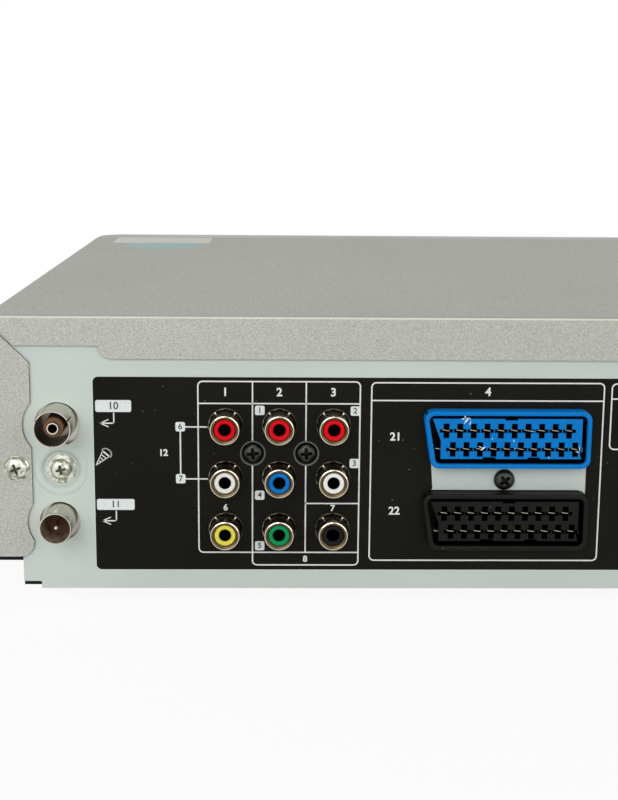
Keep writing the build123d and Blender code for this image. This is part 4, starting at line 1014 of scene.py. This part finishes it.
def barrelNickel():
    # painted reflection: bright at the rim and dark towards the panel, where the barrel would mirror the
    # black label
    metal = Finish("jackNickel", tint(224, 214, 194), 0.18, 1.0)
    away = metal.axis("Y").sum("ABSOLUTE")
    ragged = metal.noise(160.0, 3.0, 0.6) * 0.0012
    bright = (away + ragged - panelFace).step(*jack["paintedSheen"])
    metal.set("Base Color", metal.mix(bright, tint(84, 72, 56), tint(208, 198, 176)))
    metal.set("Roughness", 0.3 - bright * 0.12)
    metal.bump(metal.noise(1.0, 2.0, 0.5, metal.stretch(120.0, 900.0, 120.0)), 0.00001, 0.5)
    return metal


makeJacks()


blackSpots = {"sunk": -1.35, "spins": (6, 4), "scart": (32.35, 38)}
seatRing = [(3.6, -1.2), (3.6, 0.1), (3.42, 0.16), (3.22, 0.1), (3.22, -1.2)]


def blackHeads():
    spots = [(x, h, blackSpots["sunk"], spin) for (x, h), spin in zip(jackScrews, blackSpots["spins"])]
    height, spin = blackSpots["scart"]
    spots.append((scartMiddle, height, 0.0, spin))
    places = [placed(at(x, h, out), (0, 1, 0), spin) for x, h, out, spin in spots]
    return joined([screw(screwShapes["black"])], places)


def seatRings():
    # the pressed edge round the two sunk screws
    return joined([turned(seatRing)], [Matrix.Translation(at(x, h)) for x, h in jackScrews])


screwBlack = brushed("screwBlack", (66, 68, 62), 0.4, (200.0, 200.0, 200.0), (28, 28, 24))
ringGrey = moulded("ringGrey", (96, 102, 96), 0.4)
# painted shade in the cross recesses of the black screws
recessShadeBlack = moulded("recessShadeBlack", (10, 10, 9), 0.6)
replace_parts(putUp("screwsBlack", blackHeads(), screwBlack, deep=recessShadeBlack), "black_screws")
putUp("screwSeats", seatRings(), ringGrey)
print("screws and jacks made")

# The aerial sockets
aerial = {
    "spot": (194.7, 48.8),
    "inside": 4.72,
    "outside": 5.2,
    "tip": 11.0,
    "root": -6.0,
    "insulator": 2.9,
    "sunk": 3.0,
    "tube": (1.72, 1.2),
    "slots": (-60.0, 60.0, 178.0),
    "slotWide": 0.56,
    "slotDeep": 5.5,
}
feed = {
    "spot": (194.6, 20.6),
    "inside": 4.05,
    "outside": 4.5,
    "tip": 10.5,
    "root": -6.0,
    "disc": 1.2,
    "pin": 0.85,
}


def sleeve(shape):
    inside, outside, tip, root = (shape[k] for k in ("inside", "outside", "tip", "root"))
    profile = [(outside, -2.0), (outside, tip - 0.25), (outside - 0.12, tip), (inside + 0.12, tip)]
    profile += [(inside, tip - 0.2), (inside, root), (outside, root), (outside, -2.0)]
    return turned(profile, steps=56)


def slotted(mesh, shape):
    # saws the spring slots into the mouth of the sleeve
    outside, tip, half = shape["outside"], shape["tip"], shape["slotWide"] / 2
    low = Vector((-half, tip - shape["slotDeep"], 0.5 * outside)) * mm
    high = Vector((half, tip + 1.0, 1.4 * outside)) * mm
    turns = [Matrix.Rotation(math.radians(turn), 4, "Y") for turn in shape["slots"]]
    return hollowed(mesh, joined([block(low, high)], turns))


def insulators():
    inside, core, root = (aerial[k] for k in ("inside", "insulator", "root"))
    sunk, tube = aerial["tip"] - aerial["sunk"], 1.75
    stepped = [(inside, root), (inside, root + 3), (core, root + 3), (core, sunk - 0.3)]
    stepped += [(core - 0.3, sunk), (tube, sunk), (tube, root + 4), (0, root + 4)]
    disc = [(feed["inside"], feed["root"]), (feed["inside"], feed["disc"]), (feed["pin"], feed["disc"])]
    return joined([turned(stepped, at(*aerial["spot"])), turned(disc, at(*feed["spot"]))])


def aerialContacts():
    tip, (outside, inside) = aerial["tip"] - 1.3, aerial["tube"]
    tube = [(outside, aerial["root"] + 4), (outside, tip - 0.25), (outside - 0.12, tip), (inside + 0.12, tip)]
    tube += [(inside, tip - 0.25), (inside, 0), (0, 0)]
    end, pin = feed["tip"] - 0.9, feed["pin"]
    spike = [(pin, -4), (pin, end - 1.0), (pin * 0.8, end - 0.35), (pin * 0.4, end), (0, end)]
    return joined([turned(tube, at(*aerial["spot"]), 32), turned(spike, at(*feed["spot"]), 24)])


def aerialLining():
    # the tarnished inner wall of the upper socket and of its contact
    inside, tip, root = aerial["inside"] - 0.03, aerial["tip"], aerial["root"] + 3.05
    tube = aerial["tube"][1] - 0.02
    mouth = turned([(inside, tip - 0.5), (inside, root)], steps=56)
    bore = turned([(tube, tip - 2.1), (tube, 0.3), (0, 0.3)], steps=32)
    return joined([mouth, bore], [Matrix.Translation(at(*aerial["spot"]))])


def feedLining():
    # the paler inner wall of the lower socket
    inside = feed["inside"] - 0.03
    return turned([(inside, feed["tip"] - 0.5), (inside, feed["disc"])], at(*feed["spot"]), 56)


liningBronze = brushed("liningBronze", (104, 84, 66), 0.42, (300.0, 60.0, 300.0), (30, 24, 18))
putUp("aerialLining", aerialLining(), liningBronze)
liningPale = Finish("liningPale", tint(150, 134, 114), 0.5, 0.25)
liningStain = liningPale.noise(700.0, 3.0).step(0.4, 0.62)
liningPale.set("Base Color", liningPale.mix(liningStain, tint(160, 144, 122), tint(112, 96, 78)))
liningPale.bump(liningPale.noise(1500.0, 2.0), 0.00004)
putUp("feedLining", feedLining(), liningPale)
sleeveNickel = brushed("sleeveNickel", (206, 202, 188), 0.34, (300.0, 40.0, 300.0), (120, 100, 80))
sleeves = [slotted(sleeve(aerial), aerial), sleeve(feed)]
for data, shape in zip(sleeves, (aerial, feed)):
    data.transform(Matrix.Translation(at(*shape["spot"])))
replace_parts(putUp("aerialSleeves", joined(sleeves), sleeveNickel), "aerial_shells")
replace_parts(putUp("aerialInsulators", insulators(), insulatorBrown), "aerial_insulators")
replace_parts(putUp("aerialPins", aerialContacts(), contactTin), "aerial_contacts")
print("aerial sockets made")

# The scart sockets
scart = {
    "pitch": 3.81,
    "rowGap": 5.3,
    "pins": 10,
    "outline": {"left": 6.5, "lowLeft": 4.0, "right": 6.4, "top": 5.6, "low": -10.8, "lean": 0.075},
    "block": {"left": 3.9, "right": 3.7, "top": 3.45, "low": -8.0, "cut": 1.5, "cutHigh": -2.9},
    "notch": 0.45,
    "key": (0.8, -2.8),
    "notches": (-7.5, 5.0),
    "notchWide": 3.4,
    "reach": 4.2,
    "rim": 1.35,
    "corner": 2.6,
    "soft": 0.45,
    "groove": 9.0,
    "back": 21.0,
    "sunk": 0.25,
    "slot": (1.65, 4.2),
    "arms": (3.8, 1.05),
    "blade": (2.0, 2.4, 0.2),
    "bladeDepth": 1.1,
    "bladeTilt": -9,
    # painted shade: the slots turn black between these depths
    "shadeDepthBand": (-0.0014, -0.0005),  # metres in from the face between which the slots turn black
    "wallBand": (0.0005, 0.0009),  # metres in from the sides
}
scartHalf = scart["pitch"] * (scart["pins"] - 1) / 2
scartFace = panelFace + scart["reach"] * mm


def scartCorners(grow):
    shape = scart["outline"]
    left = scartHalf + shape["left"] + grow * (1 + shape["lean"])
    lowLeft, right = scartHalf + shape["lowLeft"] + grow, -scartHalf - shape["right"] - grow
    top, low = shape["top"] + grow, shape["low"] - grow
    return [(left, top), (right, top), (right, low), (lowLeft, low)]


def scartPins():
    pitch, pins = scart["pitch"], scart["pins"]
    spots = [(n * pitch - scartHalf, 0.0) for n in range(pins)]
    return spots + [((n - 0.5) * pitch - scartHalf, -scart["rowGap"]) for n in range(pins + 1)]


def plusOutline(x, h):
    wide, tall = scart["slot"][0] / 2, scart["slot"][1] / 2
    arm, thin = scart["arms"][0] / 2, scart["arms"][1] / 2
    quarter = [(wide, tall), (wide, thin), (arm, thin)]
    right = quarter + [(a, -b) for a, b in reversed(quarter)]
    return [(x + a, h + b) for a, b in right + [(-a, -b) for a, b in right]]


def blockOutline():
    # the raised block with its stepped corner and the shallow notches in its long sides
    shape, notch = scart["block"], scart["notch"]
    left, right, top, low = scartHalf + shape["left"], -scartHalf - shape["right"], shape["top"], shape["low"]
    first, last = scart["key"]
    outline = [(left, top), (first, top), (first, top - notch), (last, top - notch), (last, top)]
    outline += [(right, top), (right, low)]
    for middle in scart["notches"]:
        near, far = middle - scart["notchWide"] / 2, middle + scart["notchWide"] / 2
        outline += [(near, low), (near, low + notch), (far, low + notch), (far, low)]
    return outline + [(scartHalf + shape["cut"], low), (scartHalf + shape["cut"], shape["cutHigh"])]


def scartMoulding(rowHeight):
    reach, groove, rim, sunk = (scart[k] for k in ("reach", "groove", "rim", "sunk"))
    outer = rounded(scartCorners(0.0), scart["corner"], 8)
    inner = rounded(scartCorners(-rim), scart["corner"] - rim * 0.8, 6)
    mouth = plate([outer, inner], reach, groove, scart["soft"])
    back = plate([outer], reach - groove + 0.1, scart["back"])
    slots = [plusOutline(x, h) for x, h in scartPins()[:-1]]
    core = plate([blockOutline()] + slots, reach - sunk, groove - sunk, 0.12)
    whole = joined([mouth, back, core])
    whole.transform(Matrix.Translation((scartMiddle * mm, 0, rowHeight * mm)))
    return whole


def scartBlades():
    half = Vector(scart["blade"]) / 2 * mm
    middle = scart["reach"] - scart["bladeDepth"] - scart["blade"][1] / 2
    blade = block(-half, half, 0.05 * mm, Matrix.Rotation(math.radians(scart["bladeTilt"]), 3, "Y"))
    spots = [(scartMiddle + x, row + h) for row in scartRows for x, h in scartPins()]
    return joined([blade], [Matrix.Translation(at(x, h, middle)) for x, h in spots])


def withinRim(plastic, row):
    # 1 inside the rim of a socket, 0 on its outer sides
    shape = scart["outline"]
    x, height = plastic.axis("X") - scartMiddle * mm, plastic.axis("Z") - at(0, row).z
    slant = (shape["left"] - shape["lowLeft"]) / (shape["top"] - shape["low"])
    leftSide = height * slant + (scartHalf + shape["left"] - shape["top"] * slant) * mm
    rightSide = (scartHalf + shape["right"]) * mm
    share = 1.0
    for way in (shape["top"] * mm - height, height - shape["low"] * mm, x + rightSide, leftSide - x):
        share = way.step(*scart["wallBand"]) * share
    return share


def dustyShadedPlastic(name, colour, dust, row):
    # matt plastic, dusty on its face, with painted shade that turns its deep slots black
    plastic = Finish(name, tint(*colour), 0.38, shine=0.12)
    fine = plastic.noise(1100.0, 2.0, 0.6)
    darker = tint(*(int(c * 0.82) for c in colour))
    base = plastic.mix(fine.step(0.3, 0.8) * 0.3, tint(*colour), darker)
    speck = plastic.specks(420.0, 0.09) * plastic.noise(60.0, 2.0).step(0.45, 0.6)
    base = plastic.mix(speck * dust, base, tint(176, 190, 200))
    # painted shade: black deep in the slots inside the rim
    deep = 1.0 - (plastic.axis("Y") - scartFace).step(*scart["shadeDepthBand"])
    base = plastic.mix(deep * withinRim(plastic, row), base, tint(5, 6, 8))
    plastic.set("Base Color", base)
    plastic.set("Roughness", 0.34 + fine * 0.16)
    plastic.bump(fine, 0.00002, 0.5)
    return plastic


scartBlue = dustyShadedPlastic("scartBlue", (0, 124, 206), 0.3, scartRows[0])
scartBlack = dustyShadedPlastic("scartBlack", (28, 27, 24), 0.35, scartRows[1])
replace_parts(putUp("scartUpper", scartMoulding(scartRows[0]), scartBlue), "scart_av2")
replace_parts(putUp("scartLower", scartMoulding(scartRows[1]), scartBlack), "scart_av1")
bladeTin = brushed("bladeTin", (176, 168, 148), 0.3, grime=(60, 54, 44))
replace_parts(putUp("scartBlades", scartBlades(), bladeTin), "scart_contacts")

scrapes = [  # where plugs have scraped the blue face: the middle, then length, width and slant of each mark
    (12.2, 51.5, 1.9, 0.5, 62),
    (11.6, 50.2, 2.6, 0.75, -50),
    (11.1, 50.8, 1.7, 0.45, 12),
    (12.6, 50.7, 1.3, 0.4, -20),
    (10.6, 49.5, 1.6, 0.4, -74),
    (6.8, 42.2, 1.9, 0.8, -38),
    (7.6, 42.7, 1.2, 0.4, 20),
    (-1.7, 44.5, 0.9, 0.4, 70),
    (-2.2, 42.3, 0.5, 0.3, 40),
    (4.3, 45.0, 0.7, 0.25, -60),
    (-20.2, 42.2, 1.8, 0.35, 80),
    (-19.7, 41.3, 1.4, 0.35, 12),
    (-11.7, 39.7, 1.1, 0.25, 66),
    (-6.8, 47.2, 1.2, 0.25, 8),
]


def scrapeMarks():
    marks = []
    for x, h, length, wide, slant in scrapes:
        turn = math.radians(slant)
        along = Vector((math.cos(turn), math.sin(turn)))
        across = Vector((-along.y, along.x))
        middle = Vector((scartMiddle + x, h))
        ends = (along * length / 2, across * wide / 2, -along * length / 2, -across * wide * 0.3)
        marks.append(plate([[middle + end for end in ends]], scart["reach"] - 0.22, 0.02))
    return joined(marks)


putUp("scrapeMarks", scrapeMarks(), inked("scrapeWhite", (226, 240, 246), 0.6))
print("scart sockets made")

# Stickers on the top
stickers = {
    "strip": (163.0, 221.0, 204.2, 246.0),
    "corner": 1.0,
    "oval": (182.0, 208.0, 16.0, 14.0),
    "film": 0.1,
    "ovalFilm": 0.06,
}


def onTop(mesh):
    # lays what was drawn flat for the rear on the top, its height becoming the way forward
    lay = Matrix(((1, 0, 0), (0, 0, -1), (0, 1, 0))).to_4x4()
    mesh.transform(Matrix.Translation(-at(0, 0)))
    mesh.transform(lay)
    mesh.transform(Matrix.Translation((0, panelFace, coverTop)))
    return mesh


def topStickers():
    left, near, right, far = stickers["strip"]
    film, thin = stickers["film"], stickers["ovalFilm"]
    strip = plate([rounded(box(left, near, right, far), stickers["corner"])], film, film)
    x, y, wide, deep = stickers["oval"]
    oval = [(x + wide * a, y + deep * b) for a, b in circle(0.0, 0.0, 1.0, 64)]
    return onTop(strip), onTop(plate([oval], thin, thin))


paperWhite = inked("paperWhite", (236, 236, 228), 0.5)
paperTeal = inked("paperTeal", (168, 200, 198), 0.45)
strip, oval = topStickers()
putUp("topStrip", strip, paperWhite)
putUp("topOval", oval, paperTeal)
print("stickers made")

# Camera at the photograph's place
shot = {
    "focal": 63.99,
    "sensor": 36.0,
    "pitch": 11.476,
    "yaw": 1.219,
    "roll": 0.453,
    "x": 132.9,
    "height": 134.1,
    "behind": 389.1,
}


def placeCamera():
    pitch, yaw, roll = (math.radians(shot[k]) for k in ("pitch", "yaw", "roll"))
    ahead = Vector((-math.sin(yaw) * math.cos(pitch), -math.cos(yaw) * math.cos(pitch), -math.sin(pitch)))
    flat = Vector((-math.cos(yaw), math.sin(yaw), 0))
    above = flat.cross(ahead)
    right = math.cos(roll) * flat + math.sin(roll) * above
    up = math.cos(roll) * above - math.sin(roll) * flat
    data = bpy.data.cameras.new("camera")
    data.sensor_fit = "VERTICAL"
    data.sensor_height = shot["sensor"]
    data.lens = shot["focal"]
    data.clip_start = 0.01
    data.clip_end = 50
    camera = bpy.data.objects.new("camera", data)
    bpy.context.scene.collection.objects.link(camera)
    turn = Matrix((right, up, -ahead)).transposed().to_4x4()
    spot = Vector((shot["x"] * mm, panelFace + shot["behind"] * mm, panelBottom + shot["height"] * mm))
    camera.matrix_world = Matrix.Translation(spot) @ turn
    bpy.context.scene.camera = camera


placeCamera()

# Light, floor and the white round it
lamps = {
    "key": {"at": (0.7, 1.5, 0.75), "size": 1.1, "power": 12.5},
    "fill": {"at": (-0.9, 1.4, 0.7), "size": 1.2, "power": 8},
    "over": {"at": (0.3, 0.5, 1.45), "size": 0.5, "power": 0.4},
    "side": {"at": (1.5, -0.2, 0.45), "size": 1.0, "power": 4},
    "front": {"at": (-1.6, -1.1, 0.45), "size": 1.2, "power": 9.8},
    "frontLeft": {"at": (1.7, -1.2, 0.35), "size": 1.2, "power": 6.6},
}


def placeLamps():
    aim = Vector((0.1, 0.05, 0.04))
    for name, lamp in lamps.items():
        data = bpy.data.lights.new(name, "AREA")
        data.size = lamp["size"]
        data.energy = lamp["power"]
        made = bpy.data.objects.new(name, data)
        bpy.context.scene.collection.objects.link(made)
        spot = Vector(lamp["at"])
        turn = (aim - spot).to_track_quat("-Z", "Y")
        made.matrix_world = Matrix.Translation(spot) @ turn.to_matrix().to_4x4()


placeLamps()


room = {"light": 0.22, "floor": 0.86, "size": 12, "near": 0.25, "far": 0.6, "shade": 0.93}
white = (1, 1, 1, 1)


def seenShare(shades):
    # 1 for what the camera, mirrors and glass see, 0 for the light that reaches the object
    path = shades.node("ShaderNodeLightPath").socket.node
    rays = [Wire(shades, path.outputs[f"Is {kind} Ray"]) for kind in ("Camera", "Glossy", "Transmission")]
    return rays[0].sum("MAXIMUM", rays[1]).sum("MAXIMUM", rays[2])


def whiteWorld():
    world = bpy.data.worlds.new("room")
    bpy.context.scene.world = world
    world.use_nodes = True
    shades = Shades(world.node_tree)
    shades.tree.nodes.clear()
    dim = shades.node("ShaderNodeBackground", None, {"Color": white, "Strength": room["light"]})
    bright = shades.node("ShaderNodeBackground", None, {"Color": white, "Strength": 1.0})
    blend = shades.node("ShaderNodeMixShader", None, [seenShare(shades), dim, bright])
    shades.join(shades.tree.nodes.new("ShaderNodeOutputWorld").inputs[0], blend)


whiteWorld()


def layFloor():
    form = bmesh.new()
    bmesh.ops.create_grid(form, x_segments=1, y_segments=1, size=room["size"])
    mesh = settled(form)
    mesh.name = "floor"
    floor = bpy.data.objects.new("floor", mesh)
    bpy.context.scene.collection.objects.link(floor)
    paper = bpy.data.materials.new("floorPaper")
    paper.use_nodes = True
    shades = Shades(paper.node_tree)
    shades.tree.nodes.clear()
    matt = shades.node("ShaderNodeBsdfDiffuse", None, {"Color": (room["floor"],) * 3 + (1,)})
    glow = shades.node("ShaderNodeEmission", None, {"Color": white})
    # near the object the floor keeps some of its own shade, further off it is all white
    place = shades.node("ShaderNodeTexCoord", output="Object")
    away = shades.node("ShaderNodeVectorMath", {"operation": "LENGTH"}, [place], "Value")
    ends = {"Value": away, "From Min": room["near"], "From Max": room["far"], "To Min": room["shade"]}
    share = seenShare(shades) * shades.node("ShaderNodeMapRange", None, ends)
    blend = shades.node("ShaderNodeMixShader", None, [share, matt, glow])
    shades.join(shades.tree.nodes.new("ShaderNodeOutputMaterial").inputs[0], blend)
    mesh.materials.append(paper)


layFloor()
bpy.context.scene.view_settings.view_transform = "Standard"
print("camera, lamps and floor placed")
